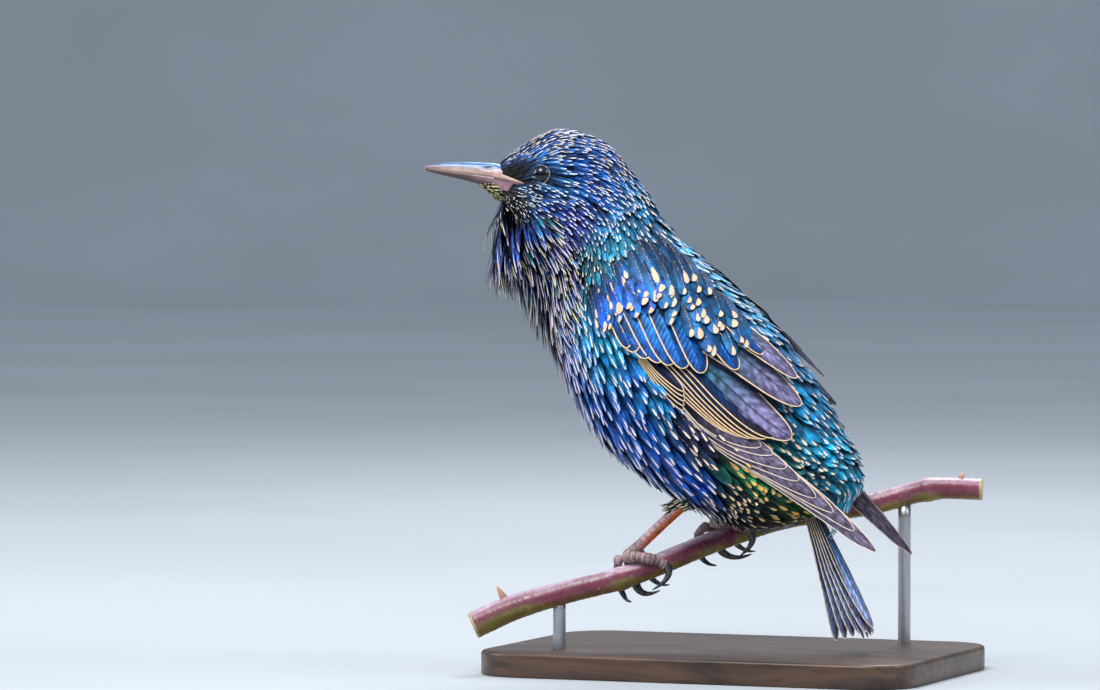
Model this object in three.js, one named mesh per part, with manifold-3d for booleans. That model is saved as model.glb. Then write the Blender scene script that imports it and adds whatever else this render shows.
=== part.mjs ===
// A common starling in fresh winter plumage, life size, perched on a cut length of rose stem
// that a plain display stand holds up. Millimetres, +Z up. The bird faces -X and its left side
// faces -Y. The origin is the middle of the underside of the stand's base.
import * as THREE from "three";
import { mergeVertices } from "three/addons/utils/BufferGeometryUtils.js";
import Module from "manifold-3d";

const wasm = await Module();
wasm.setup();
const { Manifold, Mesh } = wasm;

// Driving sizes
const GAP = 0.3;
const HEAD_YAW = THREE.MathUtils.degToRad(22);
const NECK_PIVOT_X = -28.5;
const BIRD_OFFSET = new THREE.Vector3(-8, -6, 0);
const BASE = { length: 150, width: 100, height: 8, corner: 16, edge: 1.2 };
const ROD_RADIUS = 2.1;
const STEM_RADIUS = { left: 4.4, middle: 3.6, right: 3.6 };

const LEFT = -1;
const RIGHT = 1;
const v3 = (x, y, z) => new THREE.Vector3(x, y, z);
const rad = THREE.MathUtils.degToRad;
const lerp = THREE.MathUtils.lerp;
const smooth = THREE.MathUtils.smoothstep;

// Materials
const finish = (color, roughness, metalness = 0) =>
  new THREE.MeshStandardMaterial({ color, roughness, metalness });
const MATERIALS = {
  plumage: finish(0x1b3f7a, 0.45),
  flight: finish(0x3a3f5c, 0.4),
  bill: finish(0x6b5a63, 0.35),
  eye: finish(0x120c0a, 0.08),
  leg: finish(0xb0614f, 0.45),
  claw: finish(0x35302f, 0.3),
  stem: finish(0x7d4a5c, 0.4),
  wood: finish(0x4a2f20, 0.5),
  steel: finish(0xb8bcc2, 0.3, 1),
};

// Solids: rings of points are skinned into closed bodies, which are then joined and cut.
function solidFrom(positions, triangles) {
  const geometry = new THREE.BufferGeometry();
  geometry.setAttribute("position", new THREE.Float32BufferAttribute(positions, 3));
  geometry.setIndex(triangles);
  const merged = mergeVertices(geometry, 1e-4);
  const solid = new Manifold(
    new Mesh({
      numProp: 3,
      vertProperties: merged.attributes.position.array,
      triVerts: new Uint32Array(merged.index.array),
    }),
  );
  return solid.volume() < 0 ? solidFrom(positions, flipped(triangles)) : solid;
}

function flipped(triangles) {
  const turned = [];
  for (let i = 0; i < triangles.length; i += 3) {
    turned.push(triangles[i], triangles[i + 2], triangles[i + 1]);
  }
  return turned;
}

// Skins a list of rings, all with the same number of points, and closes both ends with a fan.
function skin(rings) {
  const around = rings[0].length;
  const positions = rings.flat().flatMap((p) => [p.x, p.y, p.z]);
  const triangles = [];
  for (let i = 0; i + 1 < rings.length; i++) {
    for (let j = 0; j < around; j++) {
      const next = (j + 1) % around;
      const [a, b] = [i * around + j, i * around + next];
      const [c, d] = [a + around, b + around];
      triangles.push(a, b, d, a, d, c);
    }
  }
  const cap = (ring, start, outward) => {
    const middle = ring.reduce((sum, p) => sum.add(p), v3(0, 0, 0)).divideScalar(around);
    const centre = positions.length / 3;
    positions.push(middle.x, middle.y, middle.z);
    for (let j = 0; j < around; j++) {
      const [a, b] = [start + j, start + ((j + 1) % around)];
      triangles.push(...(outward ? [centre, a, b] : [centre, b, a]));
    }
  };
  cap(rings[0], 0, false);
  cap(rings[rings.length - 1], (rings.length - 1) * around, true);
  return solidFrom(positions, triangles);
}

const join = (solids) => Manifold.union(solids);
const largest = (solid) =>
  solid.decompose().reduce((best, s) => (s.volume() > best.volume() ? s : best));

function meshOf(name, solid, material) {
  const mesh = solid.getMesh();
  const geometry = new THREE.BufferGeometry();
  geometry.setAttribute("position", new THREE.BufferAttribute(mesh.vertProperties, 3));
  geometry.setIndex(new THREE.BufferAttribute(mesh.triVerts, 1));
  const flat = geometry.toNonIndexed();
  flat.computeVertexNormals();
  const node = new THREE.Mesh(flat, MATERIALS[material]);
  node.name = name;
  return node;
}

// A round bar along a curve. radiusAt(t) gives its radius from 0 at the start to 1 at the end.
function bar(curve, radiusAt, steps, sides, up = v3(0, 0, 1)) {
  const rings = [];
  for (let i = 0; i <= steps; i++) {
    const t = i / steps;
    const along = curve.getTangentAt(t);
    const across = v3().crossVectors(along, up).normalize();
    const lift = v3().crossVectors(across, along);
    const middle = curve.getPointAt(t);
    rings.push(
      Array.from({ length: sides }, (_, j) => {
        const angle = (2 * Math.PI * j) / sides;
        return middle
          .clone()
          .addScaledVector(across, radiusAt(t) * Math.cos(angle))
          .addScaledVector(lift, radiusAt(t) * Math.sin(angle));
      }),
    );
  }
  return skin(rings);
}

// The bird's body is a row of rings. Each ring has its top and bottom points in the bird's
// mid-plane, as x and z, and its half width.
const ring = (topX, topZ, bottomX, bottomZ, halfWidth) => [
  topX, topZ, bottomX, bottomZ, halfWidth,
];
const BODY = [
  ring(-70.4, 167.8, -69.8, 159.8, 3.6), // bill base
  ring(-63.0, 173.6, -68.6, 153.5, 8.6), // lores
  ring(-50.0, 179.2, -66.4, 146.8, 13.2), // crown
  ring(-34.3, 173.8, -62.6, 134.6, 15.6), // cheeks
  ring(-22.4, 159.6, -55.6, 121.6, 18.4), // nape
  ring(-11.4, 144.4, -51.0, 106.4, 23.0), // neck base
  ring(6.6, 128.8, -44.4, 91.0, 26.6), // shoulders
  ring(24.6, 112.6, -32.6, 75.2, 27.6),
  ring(39.4, 92.8, -15.4, 61.6, 26.0),
  ring(49.8, 75.6, 6.4, 50.8, 21.0),
  ring(53.2, 68.2, 17.0, 47.4, 16.5),
  ring(54.0, 62.2, 25.4, 47.6, 10.8),
  ring(50.8, 57.2, 31.6, 49.6, 6.8), // vent
];
const TORSO_START = 5;
const BODY_END = BODY.length - 1;
const BELLY_FULLNESS = 0.07;

// One value of Catmull and Rom's curve through a column of the ring table.
function ringAt(table, s) {
  const last = table.length - 1;
  const i = Math.min(Math.max(Math.floor(s), 0), last - 1);
  const t = s - i;
  const [p0, p1, p2, p3] = [i - 1, i, i + 1, i + 2].map(
    (k) => table[Math.min(Math.max(k, 0), last)],
  );
  return p1.map((_, c) => {
    const [a, b, d, e] = [p0[c], p1[c], p2[c], p3[c]];
    return (
      b + 0.5 * t * (d - a + t * (2 * a - 5 * b + 4 * d - e + t * (3 * (b - d) + e - a)))
    );
  });
}

// Turns a point of the head and neck about the upright line through the neck's pivot.
function yawed(point, s) {
  const angle = HEAD_YAW * smooth(5.5 - s, 0, 3.2);
  const x = point.x - NECK_PIVOT_X;
  const [c, n] = [Math.cos(angle), Math.sin(angle)];
  return v3(NECK_PIVOT_X + c * x - n * point.y, n * x + c * point.y, point.z);
}

// A point on a ring table's surface: s counts rings, angle runs from the top (0) round the
// given side to the bottom (pi), and lift is how far it stands out of the surface.
function onRings(table, s, angle, lift = 0, side = LEFT) {
  const [tx, tz, bx, bz, width] = ringAt(table, s);
  const depth = v3(tx - bx, 0, tz - bz).multiplyScalar(0.5);
  const reach = depth.length();
  const up = depth.clone().divideScalar(reach);
  const [c, n] = [Math.cos(angle), Math.sin(angle)];
  const full = 1 - BELLY_FULLNESS * c;
  return v3((tx + bx) / 2, 0, (tz + bz) / 2)
    .addScaledVector(up, (reach + lift) * c)
    .add(v3(0, side * (width + lift) * n * full, 0));
}
const onBody = (s, angle, lift = 0, side = LEFT) =>
  yawed(onRings(BODY, s, angle, lift, side), s);

// A stretch of the body from s = from(angle) to s = to(angle), grown outwards by lift.
function bodyStretch(from, to, steps, around, lift = 0, shift = v3(0, 0, 0)) {
  const rings = [];
  for (let i = 0; i <= steps; i++) {
    rings.push(
      Array.from({ length: around }, (_, j) => {
        const angle = (2 * Math.PI * j) / around;
        const s = lerp(from(angle), to(angle), i / steps);
        return onBody(s, angle, lift).addScaledVector(shift, i === 0 ? 1 : 0);
      }),
    );
  }
  return skin(rings);
}

// The head ends behind the eye and reaches lower on the throat than on the cheeks.
const headEnd = (angle) => 1.5 + 2.4 * Math.abs(Math.cos(angle / 2));
const headFrame = (x, y, z) => yawed(v3(x, y, z), 0);

// A sphere with few faces, for eyeballs, sockets and joints.
const ball = (centre, radius, around = 20) =>
  Manifold.sphere(radius, around).translate(centre.toArray());
const segment = (a, b) => new THREE.CatmullRomCurve3([a, a.clone().lerp(b, 0.5), b]);

// Bill: sections as x, then the height of its top, of the mouth line and of its underside, and
// the half width. The upper half ends a little over the lower one.
const BILL = [
  [-94.7, 166.9, 166.1, 165.4, 0.5],
  [-91.2, 167.6, 165.6, 164.3, 1.3],
  [-86.3, 168.1, 165.0, 163.1, 1.8],
  [-81.3, 168.2, 164.4, 161.9, 2.3],
  [-76.4, 168.1, 163.8, 160.5, 2.9],
  [-71.4, 167.8, 163.1, 159.2, 3.9],
  [-67.1, 166.9, 162.3, 158.6, 4.9],
  [-64.0, 165.6, 161.7, 158.3, 5.4],
];
const MOUTH_GAP = 0.15;
function billHalf(upper, grow = 0) {
  const rings = BILL.map(([x, top, mouth, bottom, width], i) => {
    const tip = i === 0 ? 1 : 0;
    const peak = upper ? top : bottom;
    const inner = mouth + (upper ? MOUTH_GAP : -MOUTH_GAP) * (1 - tip * 0.4);
    const depth = peak - inner + (upper ? grow : -grow);
    const half = width + grow;
    const base = inner - (upper ? grow : -grow);
    const shift = x - tip * grow + (i === BILL.length - 1 ? grow : 0) + (upper ? 0 : 1.2 * tip);
    const arc = Array.from({ length: 9 }, (_, j) => {
      const angle = (Math.PI * j) / 8;
      const y = half * Math.cos(angle);
      return headFrame(shift, y, inner + depth * Math.sin(angle) ** 0.9);
    });
    return [...arc, headFrame(shift, -half * 0.97, base), headFrame(shift, half * 0.97, base)];
  });
  return skin(rings);
}
const nostril = (side) =>
  bar(segment(headFrame(-75.6, side * 2.9, 166.1), headFrame(-72.9, side * 3.6, 166.3)),
    (t) => 0.25 + 0.45 * Math.sin(Math.PI * t), 4, 6);
const billUpper = billHalf(true).subtract(nostril(LEFT)).subtract(nostril(RIGHT));
const billLower = billHalf(false);

// Eyes: the ball sits in a socket, with a raised ring of lid round it.
const EYE = { x: -55.9, y: 10.6, z: 164.0, radius: 3.4, lidRadius: 2.85, lidThickness: 0.55 };
const eyeCentre = (side) => headFrame(EYE.x, side * EYE.y, EYE.z);
const eyeAxis = (side) =>
  headFrame(EYE.x - 0.22, side * (EYE.y + 1), EYE.z + 0.12).sub(eyeCentre(side)).normalize();
function lid(side) {
  const axis = eyeAxis(side);
  const middle = eyeCentre(side).addScaledVector(axis, 1.75);
  const level = v3().crossVectors(axis, v3(0, 0, 1)).normalize();
  const up = v3().crossVectors(level, axis);
  const rings = Array.from({ length: 16 }, (_, i) => {
    const angle = (2 * Math.PI * i) / 16;
    const out = level.clone().multiplyScalar(Math.cos(angle)).addScaledVector(up, Math.sin(angle));
    return Array.from({ length: 6 }, (_, j) => {
      const turn = (2 * Math.PI * j) / 6;
      return middle
        .clone()
        .addScaledVector(out, EYE.lidRadius + EYE.lidThickness * Math.cos(turn))
        .addScaledVector(axis, EYE.lidThickness * Math.sin(turn));
    });
  });
  return hoop(rings);
}

// Skins rings whose row closes on itself.
function hoop(rings) {
  const around = rings[0].length;
  const positions = rings.flat().flatMap((p) => [p.x, p.y, p.z]);
  const triangles = [];
  for (let i = 0; i < rings.length; i++) {
    const start = ((i + 1) % rings.length) * around;
    for (let j = 0; j < around; j++) {
      const next = (j + 1) % around;
      const [a, b, c, d] = [i * around + j, i * around + next, start + j, start + next];
      triangles.push(a, b, d, a, d, c);
    }
  }
  return solidFrom(positions, triangles);
}

// The line of the mouth runs on from the bill to its corner under the eye.
const mouthCorner = (side) =>
  bar(segment(headFrame(-69, side * 4.6, 162.7), headFrame(-62.6, side * 8.7, 161.2)),
    (t) => 0.42 - 0.22 * t, 3, 6);

let head = join([
  bodyStretch(() => 0, headEnd, 9, 24),
  lid(LEFT),
  lid(RIGHT),
]);
for (const cut of [
  billHalf(true, GAP), billHalf(false, GAP), mouthCorner(LEFT), mouthCorner(RIGHT),
  ball(eyeCentre(LEFT), EYE.radius + GAP), ball(eyeCentre(RIGHT), EYE.radius + GAP),
]) {
  head = head.subtract(cut);
}
head = largest(head);

// Vanes and locks: box-section strips laid on a surface. place(u, v, lift) gives the surface.
const VANE_STEPS = [
  [0, 0.6], [0.45, 0.97], [0.78, 0.95], [0.94, 0.6], [1, 0.18],
];
const LOCK_STEPS = [
  [0, 0.8], [0.35, 1], [0.7, 0.75], [1, 0.12],
];
function strip(place, { from, to, width, lift, bow = 0, slope = 0, thick = 0.6, steps }) {
  const at = (t, rise) =>
    place(
      lerp(from[0], to[0], t),
      lerp(from[1], to[1], t) + bow * Math.sin(Math.PI * t),
      lerp(lift[0], lift[1], Math.max(t, 0) ** 1.6) + rise,
    );
  const rings = (steps ?? VANE_STEPS).map(([t, share]) => {
    const middle = at(t, 0);
    const normal = at(t, 1).sub(middle).normalize();
    const along = at(t + 0.01, 0).sub(at(t - 0.01, 0));
    const across = v3().crossVectors(along, normal).normalize();
    const u = lerp(from[0], to[0], t);
    const v = lerp(from[1], to[1], t);
    if (across.dot(place(u, v + 1, 0).sub(place(u, v, 0))) < 0) {
      across.negate();
    }
    const half = (width * share) / 2;
    const corner = (x, rise) =>
      middle.clone().addScaledVector(across, x * half).addScaledVector(normal, rise + slope * x * half);
    return [corner(-1, 0), corner(-1, thick), corner(1, thick), corner(1, 0)];
  });
  return skin(rings);
}

// Neck
const torsoSkin = (lift) => {
  const shift = lift > 0 ? v3(0, 0, 0) : v3(0.2, 0, -0.2);
  return bodyStretch(() => TORSO_START, () => BODY_END, 18, 28, lift, shift);
};

// The long pointed feathers of the throat, in rows from the chin down to the breast. Degrees
// run from the nape over the left side to the throat at 180.
const HACKLES = {
  firstRow: 1.72, rowStep: 0.39, standOut: [7.2, 8.6, 8, 6.8, 5, 2.8], spacing: 5.3, spread: 76,
  width: 3.2,
};
function hackleSolids() {
  const random = seeded(7);
  const locks = [];
  for (let row = 0; row < HACKLES.standOut.length; row++) {
    const s = HACKLES.firstRow + HACKLES.rowStep * row;
    const step = THREE.MathUtils.radToDeg(HACKLES.spacing / ringAt(BODY, s)[4]);
    const reach = Math.floor(HACKLES.spread / step);
    for (let k = -reach; k <= reach; k++) {
      const turn = (k + (row % 2 ? 0.5 : 0)) * step;
      const start = Math.max(s + 0.12 * (random() - 0.5), headEnd(rad(180 - turn)) + 0.18);
      if (start > s + 0.35) {
        continue;
      }
      const front = Math.cos(rad(turn)) ** 2;
      const length = lerp(0.75, 0.92, front) * lerp(0.92, 1.08, random());
      const standOut = lerp(1.3, HACKLES.standOut[row], front) * lerp(0.85, 1.1, random());
      locks.push(
        strip(onNeck, {
          from: [start, 180 - turn], to: [start + length, 180 - turn * 0.97 + 7 * (random() - 0.5)],
          width: HACKLES.width, lift: [-1, standOut], thick: 0.8, steps: LOCK_STEPS,
        }),
      );
    }
  }
  return locks;
}
const onNeck = (s, degrees, lift) => onBody(s, rad(degrees), lift);
function seeded(start) {
  let state = start;
  return () => {
    state = (state * 16807) % 2147483647;
    return state / 2147483647;
  };
}
const neck = largest(
  join([bodyStretch(headEnd, () => TORSO_START, 7, 24, 0, v3(0, 0, -GAP)), ...hackleSolids()])
    .subtract(torsoSkin(GAP)),
);
const torso = torsoSkin(0);
const torsoRoom = torsoSkin(GAP);

// Wings: ring table of the surface that the folded wing lies on. Its first rings are the body's.
const WING = [
  ...BODY.slice(5, 9),
  ring(50.8, 77.6, 6.5, 53.0, 23.0),
  ring(59.0, 64.5, 25.0, 42.5, 19.0),
  ring(68.0, 49.3, 44.0, 33.3, 15.0),
];
// The right wing hangs a little lower and further out than the left one.
const RIGHT_WING_DROOP = v3(2.8, 0, -2.6);
const onWing = (side) => (s, degrees, lift) => {
  const loose = side === RIGHT ? 1 : 0;
  return onRings(WING, s, rad(degrees), lift + 1.2 * loose * smooth(s, 0.8, 2.5), side)
    .addScaledVector(RIGHT_WING_DROOP, loose * smooth(s, 0.8, 6.2));
};

// Where each feather starts and ends, as rings along the wing's surface and degrees round it.
const PRIMARIES = [
  [1.58, 87, 6.21, 64], [1.6, 86, 5.61, 66], [1.62, 85, 5.19, 69], [1.64, 84, 4.8, 71],
  [1.65, 83, 4.34, 71], [1.67, 82, 4.02, 71], [1.69, 81, 3.68, 70],
];
const SECONDARIES = [
  [1.75, 80, 3.1, 74], [1.82, 77, 3.22, 71], [1.9, 74, 3.32, 68], [1.98, 71, 3.39, 64],
  [2.03, 68, 3.42, 60],
];
const TERTIALS = [
  [1.75, 66, 3.58, 54, 12.5], [1.75, 50, 3.13, 34, 11.5], [1.75, 37, 2.74, 25, 9.5],
];
const PRIMARY_COVERTS = [
  [1.25, 87, 2.0, 84], [1.3, 86, 2.12, 83], [1.35, 86, 2.25, 84], [1.4, 88, 2.38, 88],
];
const GREATER_COVERTS = [
  [0.54, 80, 1.3, 86], [0.66, 77, 1.49, 83], [0.78, 73, 1.65, 80], [0.91, 68, 1.77, 77],
  [1.06, 63, 1.92, 73], [1.23, 56, 2.11, 68], [1.35, 46, 2.3, 53], [1.45, 34, 2.27, 36],
];

function wingCore(side) {
  const place = onWing(side);
  const rings = [];
  for (let i = 0; i <= 8; i++) {
    const t = i / 8;
    const s = lerp(0.2, 3.3, t);
    const open = Math.min(1, 0.35 + 3.5 * t, 0.3 + 3 * (1 - t));
    const [low, high] = [lerp(60, 34, open), lerp(70, 86, open)];
    const thick = lerp(2.6, 1.2, smooth(t, 0.3, 0.9)) * Math.min(1, 0.35 + 2.5 * t);
    const outer = Array.from({ length: 7 }, (_, j) => {
      const x = j / 6;
      return place(s, lerp(low, high, x), thick * Math.sin(Math.PI * lerp(0.12, 0.88, x)) ** 0.5);
    });
    const inner = Array.from({ length: 7 }, (_, j) => place(s, lerp(high, low, j / 6), -1.2));
    rings.push([...outer, ...inner]);
  }
  return skin(rings);
}

function wingSolid(side) {
  const place = onWing(side);
  const feathers = [];
  const tier = (rows, options) =>
    rows.forEach(([s0, a0, s1, a1, width], i) =>
      feathers.push(
        strip(place, {
          from: [s0, a0], to: [s1, a1], width: width ?? options.width, slope: options.slope,
          bow: options.bow ?? 0,
          lift: [options.root + options.step * i, options.tip + options.step * i],
        }),
      ),
    );
  tier(PRIMARIES, { width: 7.6, slope: 0.1, root: -0.6, tip: 0.3, step: 0.28, bow: 5 });
  tier(SECONDARIES, { width: 7.4, slope: 0.2, root: 0.5, tip: 2.1, step: 0.22 });
  tier(TERTIALS, { width: 12, slope: 0.1, root: 1.0, tip: 3.0, step: 0.5 });
  tier(PRIMARY_COVERTS, { width: 4.6, slope: 0.16, root: 0.4, tip: 1.9, step: 0.25 });
  tier(GREATER_COVERTS, { width: 7, slope: 0.2, root: 0.9, tip: 3.5, step: 0.06 });
  return largest(join([wingCore(side), ...feathers]).subtract(torsoRoom));
}

// Tail: a plane that hangs from the rump, twisted a little towards the left side.
const TAIL = {
  base: v3(38.3, 1.2, 54.5), droop: rad(61), twist: rad(5), swing: rad(-6), length: 44, spacing: 1.6,
};
function onTail(along, degrees, lift) {
  const across = rad(degrees) * (along + 22);
  const flat = v3(0, across, 0);
  const roof = lift - 0.055 * across * across * (0.5 + along / 90);
  const down = v3(Math.cos(TAIL.droop), 0, -Math.sin(TAIL.droop));
  const out = v3(Math.sin(TAIL.droop), 0, Math.cos(TAIL.droop));
  const point = flat.addScaledVector(down, along).addScaledVector(out, roof);
  return point.applyAxisAngle(out, TAIL.swing).applyAxisAngle(down, TAIL.twist).add(TAIL.base);
}
function tailSolid() {
  const rings = Array.from({ length: 5 }, (_, i) => {
    const along = lerp(-5, 13, i / 4);
    return Array.from({ length: 12 }, (_, j) => {
      const turn = (2 * Math.PI * j) / 12;
      const spread = lerp(7.5, 12, i / 4);
      return onTail(along, spread * Math.cos(turn), lerp(4.2, 0.4, i / 4) * Math.sin(turn) - 1.2);
    });
  });
  const feathers = [];
  for (const side of [LEFT, RIGHT]) {
    for (let i = 0; i < 6; i++) {
      const angle = side * TAIL.spacing * (0.55 + i);
      const reach = TAIL.length + 0.5 * i - 0.12 * i * i;
      feathers.push(
        strip(onTail, {
          from: [-2.3 - 0.2 * i, angle * 0.8], to: [reach, angle], width: 7.6, slope: side * -0.12,
          lift: [-0.33 * i - 0.1, -0.66 * i + (side === LEFT && i === 0 ? 1 : 0.07 * side)],
        }),
      );
    }
  }
  return largest(join([skin(rings), ...feathers]).subtract(torsoRoom));
}

// Stem: the length of rose stem that the bird grips, with a thorn, rings at its old leaf joints
// and a bud.
const STEM_PATH = new THREE.CatmullRomCurve3([
  v3(-69.7, -32, 15.6), v3(-58.1, -27, 21.2), v3(-43.2, -22.5, 26), v3(-25.1, -17, 30.9),
  v3(-16.1, -13, 34.3), v3(5.4, 13, 44.9), v3(18.8, 24, 49.8), v3(45.6, 36, 54.5),
  v3(65.2, 42, 59.7), v3(81, 46, 59.7),
], false, "centripetal");
const STEM_JOINTS = [0.285, 0.9];
const stemRadius = (t) =>
  lerp(STEM_RADIUS.left, STEM_RADIUS.middle, smooth(t, 0, 0.25)) +
  STEM_JOINTS.reduce((sum, at) => sum + 0.5 * Math.exp(-(((t - at) / 0.012) ** 2)), 0);
const stemSolid = (grow = 0) =>
  bar(STEM_PATH, (t) => stemRadius(t) + grow, 32, 12);
function spike(at, direction, length, width) {
  const start = STEM_PATH.getPointAt(at);
  const end = start.clone().addScaledVector(direction.clone().normalize(), stemRadius(at) + length);
  return bar(segment(start, end), (t) => width * (1 - t) ** 0.8 + 0.25, 5, 8, v3(0, 1, 0.2));
}

// Feet: toes run round the stem. turn is the angle from the stem's top, positive over the far
// side, and shift runs along the stem.
function roundStem(middleT, turn, shift, clear) {
  const t = middleT + shift / STEM_PATH.getLength();
  const along = STEM_PATH.getTangentAt(t);
  const far = v3().crossVectors(v3(0, 0, 1), along).normalize();
  const up = v3().crossVectors(along, far);
  const distance = stemRadius(t) + GAP + clear;
  return STEM_PATH.getPointAt(t)
    .addScaledVector(up, distance * Math.cos(turn))
    .addScaledVector(far, distance * Math.sin(turn));
}
const TOES = {
  hallux: { start: -14, end: -92, claw: -140, shift: [0, 0], slant: 12.5, hook: -10, radius: 1.8 },
  inner: { start: 16, end: 112, claw: 176, shift: [-3.9, -7.2], slant: 0, hook: 3.5, radius: 1.45 },
  middle: { start: 12, end: 140, claw: 196, shift: [0, 1.4], slant: 0, hook: 7, radius: 1.65 },
  outer: { start: 16, end: 112, claw: 176, shift: [3.9, 7.6], slant: 0, hook: 3.5, radius: 1.45 },
};
function toeCurve(foot, toe, from, to, hook, clear) {
  const points = Array.from({ length: 9 }, (_, i) => {
    const turn = lerp(from, to, i / 8);
    const share = ((turn - toe.start) / (toe.claw - toe.start)) ** 0.8;
    const shift = lerp(toe.shift[0], toe.shift[1], share) * foot.side + toe.slant * share;
    return roundStem(foot.at, rad(turn), shift + hook * (i / 8) ** 2, clear(i / 8));
  });
  return new THREE.CatmullRomCurve3(points);
}
function toeSolid(foot, toe, grow = 0) {
  const pads = Math.abs(toe.end - toe.start) > 100 ? 3 : 2;
  const curve = toeCurve(foot, toe, toe.start, toe.end, 0, () => toe.radius + 0.25);
  const radius = (t) => (toe.radius + grow) * (1 - 0.16 * t + 0.12 * Math.cos(2 * Math.PI * pads * t));
  return bar(curve, radius, 4 * pads, 8, v3(0.3, 0.9, 0.4));
}
function clawSolid(foot, toe, grow = 0) {
  const lead = toe.end - Math.sign(toe.end) * 8;
  const clear = (t) => toe.radius + 0.2 + 2.4 * Math.sin(1.7 * t);
  const curve = toeCurve(foot, toe, lead, toe.claw, toe.hook, clear);
  return bar(curve, (t) => (toe.radius * 0.8) * (1 - t) ** 0.75 + 0.14 + grow, 6, 6, v3(0.3, 0.9, 0.4));
}

// Legs: the shank stands on the stem and runs up into the feathers of the belly.
const FEET = {
  left: { side: LEFT, at: 0, heel: v3(-2.6, -11, 56.8), near: v3(-22.2, -14.6, 40.9), boot: 0.34 },
  right: { side: RIGHT, at: 0, heel: v3(20.4, 11, 64), near: v3(-1.6, 11, 47), boot: 0.72 },
};
for (const foot of Object.values(FEET)) {
  let best = Infinity;
  for (let t = 0; t <= 1; t += 0.0025) {
    const gap = STEM_PATH.getPointAt(t).distanceTo(foot.near);
    if (gap < best) {
      best = gap;
      foot.at = t;
    }
  }
  foot.ball = roundStem(foot.at, 0, 0, 2.3);
}
const shank = (foot, grow = 0) =>
  join([
    bar(segment(foot.ball, foot.heel), (t) => 1.85 + grow + 0.4 * (2 * t - 1) ** 4, 8, 10, v3(0, 1, 0)),
    ball(foot.ball, 2.2 + grow, 14),
  ]);
function thigh(foot, grow = 0) {
  const top = foot.heel.clone().lerp(foot.ball, -0.25);
  const end = foot.heel.clone().lerp(foot.ball, foot.boot);
  return bar(segment(top, end), (t) => lerp(5.6, 2.9, t) + grow, 4, 12, v3(0, 1, 0));
}

const bird = new THREE.Group();
const parts = [
  ["head", head, "plumage"],
  ["neck", neck, "plumage"],
  ["torso", torso, "plumage"],
  ["tail", tailSolid(), "flight"],
  ["bill_upper", billUpper, "bill"],
  ["bill_lower", billLower, "bill"],
  ["eye_left", ball(eyeCentre(LEFT), EYE.radius), "eye"],
  ["eye_right", ball(eyeCentre(RIGHT), EYE.radius), "eye"],
  ["wing_left", wingSolid(LEFT), "flight"],
  ["wing_right", wingSolid(RIGHT), "flight"],
];
for (const [name, foot] of Object.entries(FEET)) {
  const thighPart = largest(thigh(foot).subtract(torsoRoom));
  const shankPart = largest(shank(foot).subtract(torsoRoom).subtract(thigh(foot, GAP)));
  parts.push(["thigh_" + name, thighPart, "plumage"], ["tarsus_" + name, shankPart, "leg"]);
  for (const [toeName, toe] of Object.entries(TOES)) {
    const toeRoom = toeSolid(foot, toe).subtract(torsoRoom).subtract(thigh(foot, GAP));
    const toePart = toeRoom.subtract(shank(foot, GAP)).subtract(clawSolid(foot, toe, GAP));
    parts.push(["toe_" + name + "_" + toeName, largest(toePart), "leg"]);
    const clawPart = clawSolid(foot, toe).subtract(torsoRoom);
    parts.push(["claw_" + name + "_" + toeName, largest(clawPart), "claw"]);
  }
}
const thorn = spike(0.075, v3(-0.55, -0.1, 0.9), 5.5, 2);
const bud = spike(0.955, v3(0.25, 0, 1), 2.6, 2.1);
const stem = largest(join([stemSolid(), thorn, bud]));
parts.push(["perch_stem", stem, "stem"]);
for (const [name, solid, material] of parts) {
  bird.add(meshOf(name, solid, material));
}
bird.position.copy(BIRD_OFFSET);

// Stand: a plate with rounded corners and two rods, which stop just under the stem.
function plateRing(z, inset) {
  const [x, y] = [BASE.length / 2 - BASE.corner, BASE.width / 2 - BASE.corner];
  return [[1, 1, 0], [-1, 1, 90], [-1, -1, 180], [1, -1, 270]].flatMap(([sx, sy, start]) =>
    Array.from({ length: 7 }, (_, i) => {
      const angle = rad(start + 15 * i);
      const r = BASE.corner - inset;
      return v3(sx * x + r * Math.cos(angle), sy * y + r * Math.sin(angle), z);
    }),
  );
}
const RODS = { left: v3(-42.8, -22.3, 0), right: v3(56, 39.2, 0) };
const rodAt = (name, grow) => {
  const foot = RODS[name].clone().add(v3(BIRD_OFFSET.x, BIRD_OFFSET.y, 3 - grow));
  const top = foot.clone().setZ(name === "left" ? 28 : 58);
  return bar(segment(foot, top), () => ROD_RADIUS + grow, 1, 18, v3(0, 1, 0));
};
let base = skin([
  plateRing(0, BASE.edge * 0.5), plateRing(BASE.edge * 0.5, 0),
  plateRing(BASE.height - BASE.edge, 0), plateRing(BASE.height, BASE.edge),
]);
const stemRoom = stemSolid(GAP).translate(BIRD_OFFSET.toArray());
const root = new THREE.Group();
root.add(bird);
for (const name of ["left", "right"]) {
  base = base.subtract(rodAt(name, GAP));
  root.add(meshOf("stand_rod_" + name, largest(rodAt(name, 0).subtract(stemRoom)), "steel"));
}
root.add(meshOf("stand_base", base, "wood"));
export default root;
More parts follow.
